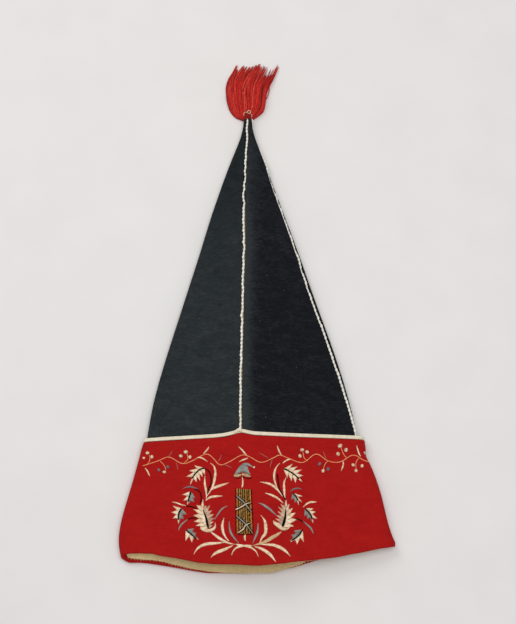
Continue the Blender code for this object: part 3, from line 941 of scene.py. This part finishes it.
# Wreath: slim leaves as (points from foot to tip, width, widest share)
slimLeaves = {
    "ivory": (
        (((206.3, 500), (206.6, 493), (205.1, 486), (204.6, 481), (205.0, 476)), 2.9, 0.55),
        (((206.6, 496.5), (210.4, 491), (213.3, 485.3), (214.9, 477.6), (215.3, 471.4), (213.7, 466),
          (210.2, 463)), 3.1, 0.6),
        (((210.6, 490.6), (214.1, 488.2), (220.7, 485.3), (229, 482.7)), 3.3, 0.4),
        (((205.8, 500.8), (209.6, 497.8), (214.5, 496.3), (222.6, 495.9)), 3.1, 0.45),
        (((172, 502.2), (176.2, 502.8), (181.5, 504.7), (186.4, 505.8)), 2.1, 0.4),
        (((210.4, 531.8), (216.2, 536.2), (222.3, 539.9), (228, 542.8), (236, 544.6)), 3.4, 0.35),
        (((229, 541.2), (225.1, 536.2), (222.7, 530.1), (222.3, 523.6), (224.1, 518)), 3.4, 0.6),
        (((226, 542.2), (214.9, 543.2), (205.6, 544.2), (198.2, 548.1), (193.8, 554.2)), 3.7, 0.55),
        (((233, 545.4), (222.7, 550.1), (216.2, 553), (210.8, 557.6)), 4.0, 0.55),
        (((285, 499.6), (284.2, 489.4), (283.8, 482.9), (286.2, 477)), 3.0, 0.5),
        (((277.6, 489.2), (274.4, 479.6), (274.4, 472.2), (276.4, 466.9), (279.9, 463.2)), 2.8, 0.5),
        (((282.6, 496.6), (278, 490.2), (272.3, 485.3), (266.6, 483.3), (260, 482)), 3.1, 0.6),
        (((283.2, 503.3), (278, 498.4), (272.3, 495.5), (264.6, 492.9)), 2.8, 0.55),
        (((303, 507.2), (307.8, 503.3), (311.5, 502), (316.6, 502)), 2.6, 0.6),
        (((259.7, 543.2), (262.1, 537.9), (265.4, 533.8), (265.8, 528.5), (264.6, 521.1), (260.7, 515.2)),
         4.0, 0.5),
        (((259, 544.2), (268.2, 544.8), (274.4, 545.4), (281.3, 548.1), (286.6, 551.8), (290.4, 556.6)),
         3.8, 0.6),
        (((254.5, 546.6), (262.1, 549.3), (268.2, 553), (272.3, 556.7), (275.8, 562)), 4.0, 0.5),
    ),
    "tan": (
        (((281.4, 531.6), (272.3, 537.5), (264.2, 542.4), (252, 545.8)), 4.4, 0.3),
    ),
    "grey": (
        (((229.2, 521.4), (229.7, 529.3), (232.4, 535.5), (238.9, 543.2)), 2.6, 0.5),
        (((258, 523), (257.4, 531.5), (255.2, 537.7), (252.6, 543.4)), 2.8, 0.5),
        (((214.6, 519.6), (218.6, 513.4), (222.3, 508.6), (227.6, 505.8)), 2.2, 0.6),
        (((276.8, 516), (273.1, 512.2), (269.5, 509), (263.8, 505.3), (258.5, 503)), 3.0, 0.6),
        (((187.6, 519.5), (181.5, 524.4), (178.4, 530.6)), 2.3, 0.6),
        (((302.9, 521), (307, 524.8), (311.1, 528.5), (313.4, 533.8)), 2.4, 0.6),
    ),
    "dusk": (
        (((197.8, 488.8), (191.7, 486.9), (187.2, 487.1), (182.6, 488.8)), 2.3, 0.5),
        (((289.9, 491.8), (294, 489), (298.4, 488.2), (301.6, 489.4)), 2.1, 0.5),
    ),
}
for colour, leaves in slimLeaves.items():
    for points, width, widest in leaves:
        satinLeaf(colour, points, width, widest)

# Jagged leaves: rib, then the tips on each side of it with their colour
jaggedLeaves = (
    {
        "ribThread": 0.72 * mm,
        "rib": ((204.7, 468.4), (201, 468.8), (196.2, 472.7), (194.1, 475.3), (192, 479)),
        "sides": (
            ("ivory", ((193.9, 465.3), (189, 470.6), (186, 476.7), (190.2, 484.3))),
            ("ivory", ((204.9, 475), (202.7, 477.2), (200.2, 481), (196.6, 482.6), (190.6, 484.5))),
        ),
    },
    {
        "ribThread": 0.74 * mm,
        "rib": ((190.9, 491.4), (190, 495.1), (188.8, 498.4), (188.5, 502)),
        "sides": (
            ("ivory", ((182.1, 494.7), (183.1, 500.8), (187.2, 505.2))),
            ("grey", ((195.4, 498.2), (194.6, 502.2), (189.4, 503.6))),
        ),
    },
    {
        "ribThread": 0.74 * mm,
        "rib": ((181.7, 508.6), (179, 512.7), (178.4, 517.1), (178.8, 520)),
        "sides": (
            ("ivory", ((172.7, 505.7), (171.1, 512.2), (172.7, 518.4), (178.6, 524))),
            ("grey", ((186.8, 514.4), (183.9, 519), (179.8, 522.4))),
        ),
    },
    {
        "ribThread": 0.74 * mm,
        "rib": ((186, 529.8), (190, 533.4), (194.1, 536.7), (196.6, 538.6)),
        "sides": (
            ("ivory", ((185.6, 541.1), (191.9, 542.8), (199, 539.8))),
            ("grey", ((194.1, 528.4), (196.6, 533), (198.2, 538.4))),
        ),
    },
    {
        "ribThread": 0.72 * mm,
        "rib": ((283.6, 469), (285.8, 469.4), (289.9, 471.8), (294, 474.3), (298.8, 479)),
        "sides": (
            ("ivory", ((292.9, 463.7), (297.6, 466.3), (301.9, 469.6), (303.2, 475.6), (302.4, 481.6))),
            ("ivory", ((287.4, 478.2), (291.5, 481.4), (295.6, 483), (301.8, 481.8))),
        ),
    },
    {
        "ribThread": 0.74 * mm,
        "rib": ((292.7, 493.2), (294.8, 495.2), (296.4, 497.1), (297.6, 500.4)),
        "sides": (
            ("ivory", ((302.9, 496.3), (302.1, 502.2), (298.8, 505.2))),
            ("grey", ((291.3, 499.4), (294.8, 503), (297.4, 503.4))),
        ),
    },
    {
        "ribThread": 0.74 * mm,
        "rib": ((305, 508.6), (309.1, 512.7), (311.3, 516), (312, 519.4)),
        "sides": (
            ("ivory", ((314, 508.4), (316, 511.8), (317.2, 518.8), (313.2, 523.2))),
            ("grey", ((304.4, 516.4), (307.4, 519), (311.4, 521.4))),
        ),
    },
    {
        "ribThread": 0.74 * mm,
        "rib": ((302.2, 529.8), (300.2, 533.6), (298.4, 535.8), (294, 539.1), (291.4, 540.6)),
        "sides": (
            ("ivory", ((303.8, 542), (297.2, 544.6), (290.4, 542.2))),
            ("grey", ((294, 530.6), (291.1, 535), (289.7, 540.7))),
        ),
    },
)
for leaf in jaggedLeaves:
    for colour, tips in leaf["sides"]:
        jaggedSide(colour, leaf["rib"], tips, 0.58 if colour == "grey" else 0.38)
    stemLine("dark", leaf["rib"], leaf["ribThread"], 3.2, 0.45 * mm)

thistles = (
    {
        "rib": ((202.9, 506), (203.5, 510.9), (206, 517.5), (207.2, 522.8), (208.8, 528.6)),
        "bright": (
            (202.7, 499.4), (196.2, 504.9), (193.1, 509.2), (192.9, 515.4), (193.7, 521.6), (195.3, 525.8),
            (199.6, 528.4),
        ),
        "shaded": (
            (203.4, 499.8), (206.8, 505.6), (210.2, 504.9), (212.1, 510.2), (214.1, 513.9), (214.6, 518),
            (213.8, 521.6), (212.6, 525.4),
        ),
        "core": ((203.2, 510.2), (206, 517.5), (207.2, 522.8), (208.9, 528.2)),
        "coreWidth": 3.0,
        "cup": ((200, 527.4), (204, 530), (208.8, 530.9), (213.2, 529.2), (215.2, 526.4), (215.3, 522.8)),
        "cupWidth": 4.2,
    },
    {
        "rib": ((286, 506), (285.8, 511), (285.2, 518.3), (283, 527.6)),
        "bright": (
            (286.2, 499.4), (289.6, 503.8), (292.8, 508), (296, 512.6), (297.5, 519.4), (294.2, 526.3),
        ),
        "shaded": (
            (285.6, 499.8), (280.5, 504), (278.2, 506.8), (277.4, 511.3), (276, 515), (275.2, 518.6),
            (277, 522.6),
        ),
        "core": ((285.7, 508.8), (285.2, 515), (284.2, 520.4), (282.4, 527.6)),
        "coreWidth": 3.4,
        "cup": ((272.4, 521.8), (276.9, 525), (282.2, 528.6), (286, 529), (289.6, 527.2)),
        "cupWidth": 4.6,
    },
)
for thistle in thistles:
    jaggedSide("ivory", thistle["rib"], thistle["bright"], 0.54)
    jaggedSide("blush", thistle["rib"], thistle["shaded"], 0.46)
    satinLeaf("dark", thistle["core"], thistle["coreWidth"], 0.86, 0.6 * mm)
    satinLeaf("ivory", thistle["cup"], thistle["cupWidth"], 0.5, 0.5 * mm, 0.7)

darkStalks = (
    (
        (204.7, 468.8), (207.2, 469.8), (209.6, 471.8), (211.2, 478.4), (211.2, 482.9), (208.9, 488.6),
        (207.2, 494.7),
    ),
    ((194.5, 489.4), (199, 490.6), (201.1, 494.7), (201.5, 498), (200.2, 503.6)),
    ((186, 506.1), (190.9, 506.5), (196.6, 508.4)),
    ((188, 519.4), (191, 518.3), (197, 517.9)),
    ((277.4, 474), (277.8, 479), (279.3, 488.6), (282.5, 494.7), (285.6, 500)),
    ((294.8, 518.7), (299, 519.4), (303, 522)),
)
for stalk in darkStalks:
    stemLine("umber", stalk, 0.64 * mm, 3.0)

# Crossed branches below the emblem
branchFeet = (
    (((236, 544.6), (244, 545.8), (252, 548), (256.4, 552), (258.4, 556.8)), 2.6),
    (((252, 545.8), (244, 545.8), (237, 547.6), (233.4, 551), (231.6, 555.4)), 2.6),
)
for points, width in branchFeet:
    satinLeaf("ivory", points, width, 0.5, 0.15 * mm, 0.9)

# Emblem: a bundle of rods, bound twice, with a small cap on a pole
emblem = {
    # each rod is two gold threads, as shares of its width, with a dark line between it and the next
    "rodThreads": (0.3, 0.7),
    "rodThread": 0.36 * mm,
    "rodLine": 0.6 * mm,
    "edgeLine": 0.42 * mm,
    "edges": (-0.035, 1.035),
    "ribbonWidth": 1.9,
    "ribbonEdge": (0.69, 0.92),
    "ribbonLine": 0.3 * mm,
    "bottomLine": ((0, 1.01), (0.5, 1.015), (1, 1.01)),
    "corners": ((236.4, 488.4), (250.9, 489.4), (252.8, 534.0), (236.6, 534.0)),
    "rods": 7,
    "ribbons": (
        ("grey", ((236.8, 496), (244, 502.3), (247.9, 507.4), (251.6, 512))),
        ("ivory", ((235.8, 509.8), (240.5, 507.6), (244.5, 505.1), (247.3, 503.5), (251, 502.7))),
        ("grey", ((236.6, 516), (243.4, 521.7), (247.3, 525.9), (253, 533.6))),
        ("ivory", ((238.4, 532.8), (243.4, 529.3), (245.6, 525.3), (250.6, 523.2))),
    ),
    "pole": ((242.3, 487.8), (242.8, 482), (242.3, 477)),
    "foot": ((244.4, 534.6), (245, 537.4), (245.7, 541)),
    "brim": (
        ((234.2, 476), (238, 475.6), (242.2, 474.4)),
        ((242.2, 474.4), (247, 475.4), (251, 476.8)),
    ),
    "crownFoot": ((234.6, 475.8), (238.5, 473.8), (242.4, 472.4), (246.6, 473.6), (250.6, 475.2)),
    "crownTop": ((236.6, 470.8), (240.2, 465.8), (244.2, 463.6), (247.4, 466), (248.2, 470.6)),
    "peak": ((243.2, 464.6), (247.2, 463.8), (250.6, 465.6), (253.4, 467.2)),
    "bobble": (254, 467.3, 0.9),
    "brimLine": ((234, 477.6), (238.6, 478.4), (242, 476.8), (246, 478.2), (250.4, 479), (252, 477)),
    "brimThread": 0.26 * mm,
}


def emblemPoint(across, down):
    topLeft, topRight, lowRight, lowLeft = emblem["corners"]
    return between(between(topLeft, topRight, across), between(lowLeft, lowRight, across), down)


def rodLine(colour, across, radius, lift):
    down = 0.0
    while down < 0.99:
        step = chance.uniform(0.09, 0.15)
        start = emblemPoint(across, down)
        end = emblemPoint(across + chance.uniform(-0.008, 0.008), min(down + step, 1.0))
        layStitch(colour, start, end, lift, radius, 0.12 * mm)
        down += step * 0.93


for k in range(emblem["rods"]):
    left = k / emblem["rods"]
    for part in emblem["rodThreads"]:
        colour = "gold" if chance.random() > 0.15 else "tan"
        rodLine(colour, left + part / emblem["rods"], emblem["rodThread"], 0.15 * mm)
    if k:
        rodLine("dark", left + chance.uniform(-0.012, 0.012), emblem["rodLine"], 0.3 * mm)
for edge in emblem["edges"]:
    rodLine("dark", edge, emblem["edgeLine"], 0.05 * mm)
for colour, points in emblem["ribbons"]:
    satinLeaf(colour, points, emblem["ribbonWidth"], 0.5, 1.0 * mm, 0.8)
    # a dark line along each edge, moved out at right angles to the ribbon's way
    acrossShift, downShift = emblem["ribbonEdge"]
    if colour == "grey":
        downShift = -downShift
    for side in (-1, 1):
        edge = [(x + side * acrossShift, y + side * downShift) for x, y in points]
        stemLine("dark", edge, emblem["ribbonLine"], 3.0, 0.75 * mm)
stemLine("dark", [emblemPoint(across, down) for across, down in emblem["bottomLine"]], 0.3 * mm)
satinLeaf("ivory", emblem["pole"], 2.2, 0.5, 0.1 * mm, 0.9)
satinLeaf("ivory", emblem["foot"], 3.2, 0.3, 0.1 * mm, 0.8)


def fillBetween(colour, low, high, lift):
    low = routeOf(low)
    high = routeOf(high)
    count = round(low["whole"] / (stitch["pitch"] * 0.95))
    for k in range(count + 1):
        start = pointOn(low, low["whole"] * k / count)
        layStitch(colour, start, pointOn(high, high["whole"] * k / count), lift, arch=0.4 * mm)


fillBetween("grey", emblem["crownFoot"], emblem["crownTop"], 0.25 * mm)
satinLeaf("grey", emblem["peak"], 3.2, 0.25, 0.3 * mm, 0.9)
berry("ivory", *emblem["bobble"])
for points in emblem["brim"]:
    satinLeaf("tan", points, 3.8, 0.5, 0.5 * mm, 0.75, 0.3)
stemLine("dark", emblem["brimLine"], emblem["brimThread"])

for name, bank in threadBanks.items():
    if bank["points"]:
        slot = "cream_cord" if name in ("ivory", "tan") else "red_yarn"
        pieceFrom(bank, f"{name}Stitches", threadMaterials[name], slot)
        print(name, "stitches:", len(bank["faces"]), "faces")
print("embroidery made")


# Tassel: strands of yarn that spread from a tied neck and lie domed on the table
tassel = {
    "strands": 840,
    "radius": 0.46 * mm,
    "sides": 4,
    "steps": 13,
    "length": 66.5 * mm,
    "start": -5.0 * mm,
    "foot": 0.8 * mm,
    # each strand lies this share of the width beyond the last one, which fills the width evenly
    "spread": 0.618,
    # how far the tassel reaches to each side at each share of its length, in mm
    "leftEdge": (
        (0.0, -4.5), (0.012, -7.8), (0.05, -13.0), (0.11, -17.2), (0.22, -20.9), (0.37, -23.2), (0.58, -23.2),
        (0.73, -21.4), (0.81, -18.4), (0.87, -16.2), (0.95, -13.6), (1.0, -12.2),
    ),
    "rightEdge": (
        (0.0, 3.5), (0.02, 5.4), (0.075, 11.0), (0.15, 16.4), (0.23, 18.2), (0.33, 19.4), (0.46, 19.8),
        (0.57, 21.6), (0.69, 25.8), (0.81, 29.6), (0.94, 33.0), (1.0, 34.0),
    ),
    "roof": ((0.0, 5.0), (0.08, 8.0), (0.18, 13.0), (0.38, 17.0), (0.6, 13.0), (0.8, 6.5), (1.0, 1.5)),
    # each lock's middle across the tassel, how far it reaches, and the share of its strands that reach so far
    "locks": (
        (-0.97, 0.97, 0.5), (-0.83, 0.9, 0.25), (-0.66, 0.96, 0.4), (-0.5, 0.95, 0.45), (-0.34, 0.93, 0.3),
        (-0.2, 0.95, 0.35), (-0.06, 0.97, 0.5), (0.08, 0.99, 0.6), (0.21, 0.95, 0.3), (0.34, 0.95, 0.12),
        (0.47, 0.94, 0.1), (0.6, 0.93, 0.1), (0.72, 0.92, 0.08), (0.86, 0.96, 0.12), (0.97, 0.98, 0.3),
    ),
    # the other strands end between these shares of the lock's reach
    "shortest": 0.7,
    "longest": 0.86,
    # how far a lock draws its strands together at the tip
    "gather": 0.96,
}

# single yarns that stand away from the rest, as mm across and along from the neck
strayYarns = (
    ((16.5, 14.0), (20.5, 21.0), (23.0, 28.0), (23.4, 34.0), (21.6, 40.0)),
    ((22.0, 36.0), (26.5, 44.0), (30.0, 50.5), (33.5, 58.5)),
    ((13.5, 40.0), (16.0, 48.0), (16.6, 54.0), (17.6, 60.5)),
    ((10.0, 42.0), (12.0, 50.0), (12.4, 56.0), (13.4, 61.0)),
    ((-16.4, 48.0), (-14.2, 54.0), (-13.0, 59.5)),
)


def addStrand(bank, neck, across, level, lock, reach):
    look = tassel
    wave = chance.uniform(0, 10)
    swing = chance.gauss(0, 1)
    path = []
    for i in range(look["steps"] + 1):
        along = reach * (i / look["steps"]) ** 1.15
        place = across + (lock - across) * look["gather"] * along ** 5
        left = readTable(look["leftEdge"], along, 1)
        right = readTable(look["rightEdge"], along, 1)
        x = left + (right - left) * (0.5 + 0.5 * place)
        x += (2.4 * noise.noise(Vector((wave, 3.4 * along, 0.3))) + 0.6 * swing * along) * along * mm
        roof = readTable(look["roof"], along, 1) * math.sqrt(max(0.02, 1 - (0.98 * place) ** 2))
        z = look["foot"] + roof * level + 1.2 * mm * along * noise.noise(Vector((wave, 3 * along, 5.3)))
        y = neck.y + look["start"] + look["length"] * along
        path.append(Vector((neck.x + x, y, max(z, look["radius"]))))
    layYarn(bank, path, look["radius"])


# a yarn thins over the last quarter of its length
def layYarn(bank, path, radius):
    last = len(path) - 1
    sizes = [radius * min(1.0, 1.1 - 0.75 * max(i / last - 0.75, 0) / 0.25) for i in range(last + 1)]
    sweep(bank, path, None, lambda i: roundRing(sizes[i], tassel["sides"]))


def addTassel():
    look = tassel
    low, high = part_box("tassel_tie")
    neck = Vector(((low.x + high.x) / 2, high.y + 0.5 * mm, (low.z + high.z) / 2))
    banks = [newBank() for _ in tasselYarns]
    for k in range(look["strands"]):
        across = 2 * (look["spread"] * k % 1) - 1
        level = math.sqrt(chance.random())
        lock, reach, fill = min(look["locks"], key=lambda row: abs(row[0] - across))
        # a strand's tone varies at random, with painted light added: strands higher in the dome are lighter
        # and lower ones darker, and the long strands that make the tips get a painted highlight
        tone = chance.gauss(0, 0.5) + 0.6 * (level - 0.85)
        if chance.random() < fill:
            reach *= chance.uniform(0.94, 1.02)
            tone += 0.25
        else:
            reach *= chance.uniform(look["shortest"], look["longest"])
        shade = 3 if tone > 1.0 else 0 if tone > 0.35 else 1 if tone > -0.3 else 2
        addStrand(banks[shade], neck, across, level, lock, reach)
    for points in strayYarns:
        path = smoothPath([Vector((neck.x + x * mm, neck.y + y * mm, 2.2 * mm)) for x, y in points], 3 * mm)
        layYarn(banks[1], path, 0.4 * mm)
    for shade, (bank, material) in enumerate(zip(banks, tasselYarns)):
        nodes = ["tassel"] if shade == 0 else []
        pieceFrom(bank, f"tasselYarn{shade + 1}", material, "red_yarn", *nodes)
    return neck


neckPlace = addTassel()


# Neck of the tassel: red yarn wound into a small knot, with cream thread looped over it
def windThread(name, material, slot, look, *nodes):
    bank = newBank()
    path = []
    ups = []
    steps = look["turns"] * 20
    for i in range(steps + 1):
        share = i / steps
        angle = math.tau * look["turns"] * share
        out = Vector((math.cos(angle), 0, math.sin(angle)))
        bulge = math.sqrt(max(1 - (look["pinch"] * (2 * share - 1)) ** 2, 0.05))
        wobble = look["wobble"] * noise.noise(Vector((share * 9, 1.7, look["turns"])))
        size = look["radius"] * bulge * (1 + wobble)
        along = look["start"] + (look["end"] - look["start"]) * share
        along += look["slant"] * math.sin(angle + 0.6)
        place = neckPlace + Vector((look["side"], along, look["lift"])) + out * size
        place.z = max(place.z, look["thread"])
        path.append(place)
        ups.append(out)
    layThread(bank, path, ups, look["thread"], 7, 0.6)
    pieceFrom(bank, name, material, slot, *nodes)


knot = {
    "turns": 8, "radius": 3.9 * mm, "pinch": 0.8, "wobble": 0.18, "start": -5.8 * mm, "end": 1.4 * mm,
    "slant": 0.5 * mm, "side": 0.0, "lift": 3.6 * mm, "thread": 0.62 * mm,
}
tie = {
    "turns": 3, "radius": 3.4 * mm, "pinch": 0.1, "wobble": 0.3, "start": -2.4 * mm, "end": -0.6 * mm,
    "slant": 0.7 * mm, "side": 0.0, "lift": 0.9 * mm, "thread": 0.4 * mm,
}
windThread("tasselKnot", tasselYarns[2], "red_yarn", knot)
windThread("tasselTie", threadMaterials["ivory"], "cream_cord", tie, "tassel_tie")

# Loose loops of cream thread on top of the knot, as points across, along and up from the neck
threadLoops = (
    ((-0.6, 0.0, 8.0), (-0.2, 1.7, 8.4), (1.4, 2.6, 8.6), (2.8, 1.7, 8.2), (2.6, 0.0, 7.9), (1.2, -0.8, 8.1),
     (-0.2, -0.2, 8.3)),
    ((-3.4, -3.2, 4.4), (-4.4, -1.6, 5.4), (-4.1, 0.0, 6.6), (-2.6, 0.9, 7.7), (-1.0, 0.3, 8.2)),
    ((3.4, -0.8, 6.8), (4.3, -2.2, 5.4), (3.8, -3.8, 4.6), (2.4, -4.6, 4.8)),
)


def addLoops():
    bank = newBank()
    for loop in threadLoops:
        path = smoothPath([neckPlace + Vector(p) * mm for p in loop], 0.6 * mm)
        layThread(bank, path, None, 0.36 * mm, 6)
    pieceFrom(bank, "tasselThreadLoops", threadMaterials["ivory"], "cream_cord")


addLoops()
print("tassel made")

# Sewing: overcast stitches along the lining's edge, a rolled end for the tape, and pale lint on the crown
sewing = {
    "hemPitch": 3.1 * mm,
    "hemThread": 0.36 * mm,
    "hemFrom": -133 * mm,
    "hemTo": 128 * mm,
    # specks of lint, and the columns and rows of the picture between which they lie
    "lint": 34,
    "lintThread": 0.07 * mm,
    "lintColumns": (150, 350),
    "lintRows": (150, 430),
    # the left tape's end, rolled under just before the seam, as columns, rows and mm above the cloth
    "tapeEnd": (
        (234.5, 432.6, 0.1), (236.8, 431.2, 0.8), (238.8, 430, 1.3), (240.4, 430.2, 1.2), (241.2, 431.8, 0.5),
    ),
    "tapeEndRadius": 1.75 * mm,
    "tapeEndFlatness": 0.6,
}


# the lining's lower edge at the hem, as places across with the edge's place along and its height
def liningEdge():
    points = pointsOf(liningPiece.data)
    points = points[points[:, 2] < hemLine["backHeight"] + 1 * mm]
    rows = []
    for x in np.arange(sewing["hemFrom"] - 1 * mm, sewing["hemTo"] + 4 * mm, 2 * mm):
        near = points[np.abs(points[:, 0] - x) < 2 * mm]
        if len(near):
            lowest = near[:, 1].min()
            rows.append((x, lowest, near[near[:, 1] < lowest + 2 * mm][:, 2].max()))
    return np.array(rows)


def sewLining():
    look = sewing
    bank = newBank()
    edge = liningEdge()
    x = look["hemFrom"]
    while x < look["hemTo"]:
        y = float(np.interp(x, edge[:, 0], edge[:, 1]))
        z = float(np.interp(x, edge[:, 0], edge[:, 2]))
        slant = chance.uniform(0.3, 1.0) * mm
        path = [
            Vector((x, y + 2.2 * mm, z - 0.2 * mm)),
            Vector((x + 0.3 * slant, y + 1.1 * mm, z + 0.35 * mm)),
            Vector((x + 0.7 * slant, y - 0.2 * mm, z + 0.1 * mm)),
            Vector((x + slant, y - 1.2 * mm, z - 1.5 * mm)),
        ]
        layThread(bank, path, None, look["hemThread"] * chance.uniform(0.8, 1.15), 6)
        x += look["hemPitch"] * chance.uniform(0.8, 1.2)
    pieceFrom(bank, "liningHemStitches", creamLinen, "cream_linen")


def addTapeEnd():
    look = sewing
    tree = treeOf(cuffPiece, bindingPiece)
    path = []
    for column, row, lift in look["tapeEnd"]:
        place, _ = onCloth(tree, column, row)
        path.append(place + Vector((0, 0, lift * mm)))
    path = smoothPath(path, 0.7 * mm)
    last = len(path) - 1

    def ringAt(i):
        swell = math.sin(math.pi * min(0.97, 0.12 + 0.85 * i / last)) ** 0.5
        return roundRing(look["tapeEndRadius"] * swell, 10, look["tapeEndFlatness"])

    bank = newBank()
    sweep(bank, path, [Vector((0, -0.3, 1)).normalized()] * len(path), ringAt)
    pieceFrom(bank, "tapeRolledEnd", creamTape, "cream_tape")


def addLint():
    look = sewing
    bank = newBank()
    tree = treeOf(*crownPieces)
    while look["lint"] > len(bank["faces"]) / 14:
        column = chance.uniform(*look["lintColumns"])
        row = chance.uniform(*look["lintRows"])
        angle = chance.uniform(0, math.tau)
        reach = chance.uniform(0.3, 1.0)
        path = []
        ups = []
        for share in (-1, -0.3, 0.4, 1):
            x = column + reach * share * math.cos(angle)
            y = row + reach * share * math.sin(angle + 0.3 * share)
            place, normal = onCloth(tree, x, y)
            if place is not None:
                path.append(place + normal * 0.12 * mm)
                ups.append(normal)
        if len(path) == 4:
            layThread(bank, path, ups, look["lintThread"], 4)
    pieceFrom(bank, "crownLint", threadMaterials["grey"], "cream_cord")


sewLining()
addTapeEnd()
addLint()
print("sewing made")

# Floor, light and air
studio = {
    "floorSize": 30.0,
    "floorColours": ((0.3, "E5E2DF"), (0.7, "E8E5E2")),
    "air": 0.46,
    "airColour": "F1F2F4",
    # each light: place, size and power
    "lights": {
        "softCeiling": ((0.25, -0.15, 2.0), 1.4, 18.5),
        "softWindow": ((-1.0, 1.1, 1.6), 1.2, 12.5),
    },
}


def addStudio():
    bpy.ops.object.select_all(action="DESELECT")
    bpy.ops.mesh.primitive_plane_add(size=studio["floorSize"], location=(0, 0, 0))
    floor = bpy.context.active_object
    floor.name = "studioFloor"
    made, tree, shader, where = newMaterial("paleMountBoard", {"Roughness": 0.9})
    grain = addNode(tree, "ShaderNodeTexNoise", {"Scale": 1 / (60 * mm), "Detail": 2.0}, {"Vector": where})
    colour = shader.inputs["Base Color"]
    addNode(tree, "ShaderNodeValToRGB", links={"Fac": grain}, stops=studio["floorColours"], feeds=colour)
    floor.data.materials.append(made)
    for name, (place, size, power) in studio["lights"].items():
        light = bpy.data.lights.new(name, "AREA")
        light.shape = "SQUARE"
        light.size = size
        light.energy = power
        lamp = bpy.data.objects.new(name, light)
        bpy.context.scene.collection.objects.link(lamp)
        lamp.location = place
        lamp.rotation_euler = (-Vector(place)).to_track_quat("-Z", "Y").to_euler()
    air = bpy.data.worlds.new("studioAir")
    air.use_nodes = True
    background = air.node_tree.nodes["Background"]
    background.inputs["Color"].default_value = toLinear(studio["airColour"])
    background.inputs["Strength"].default_value = studio["air"]
    bpy.context.scene.world = air
    bpy.context.scene.view_settings.view_transform = "Standard"


addStudio()
print("studio made")
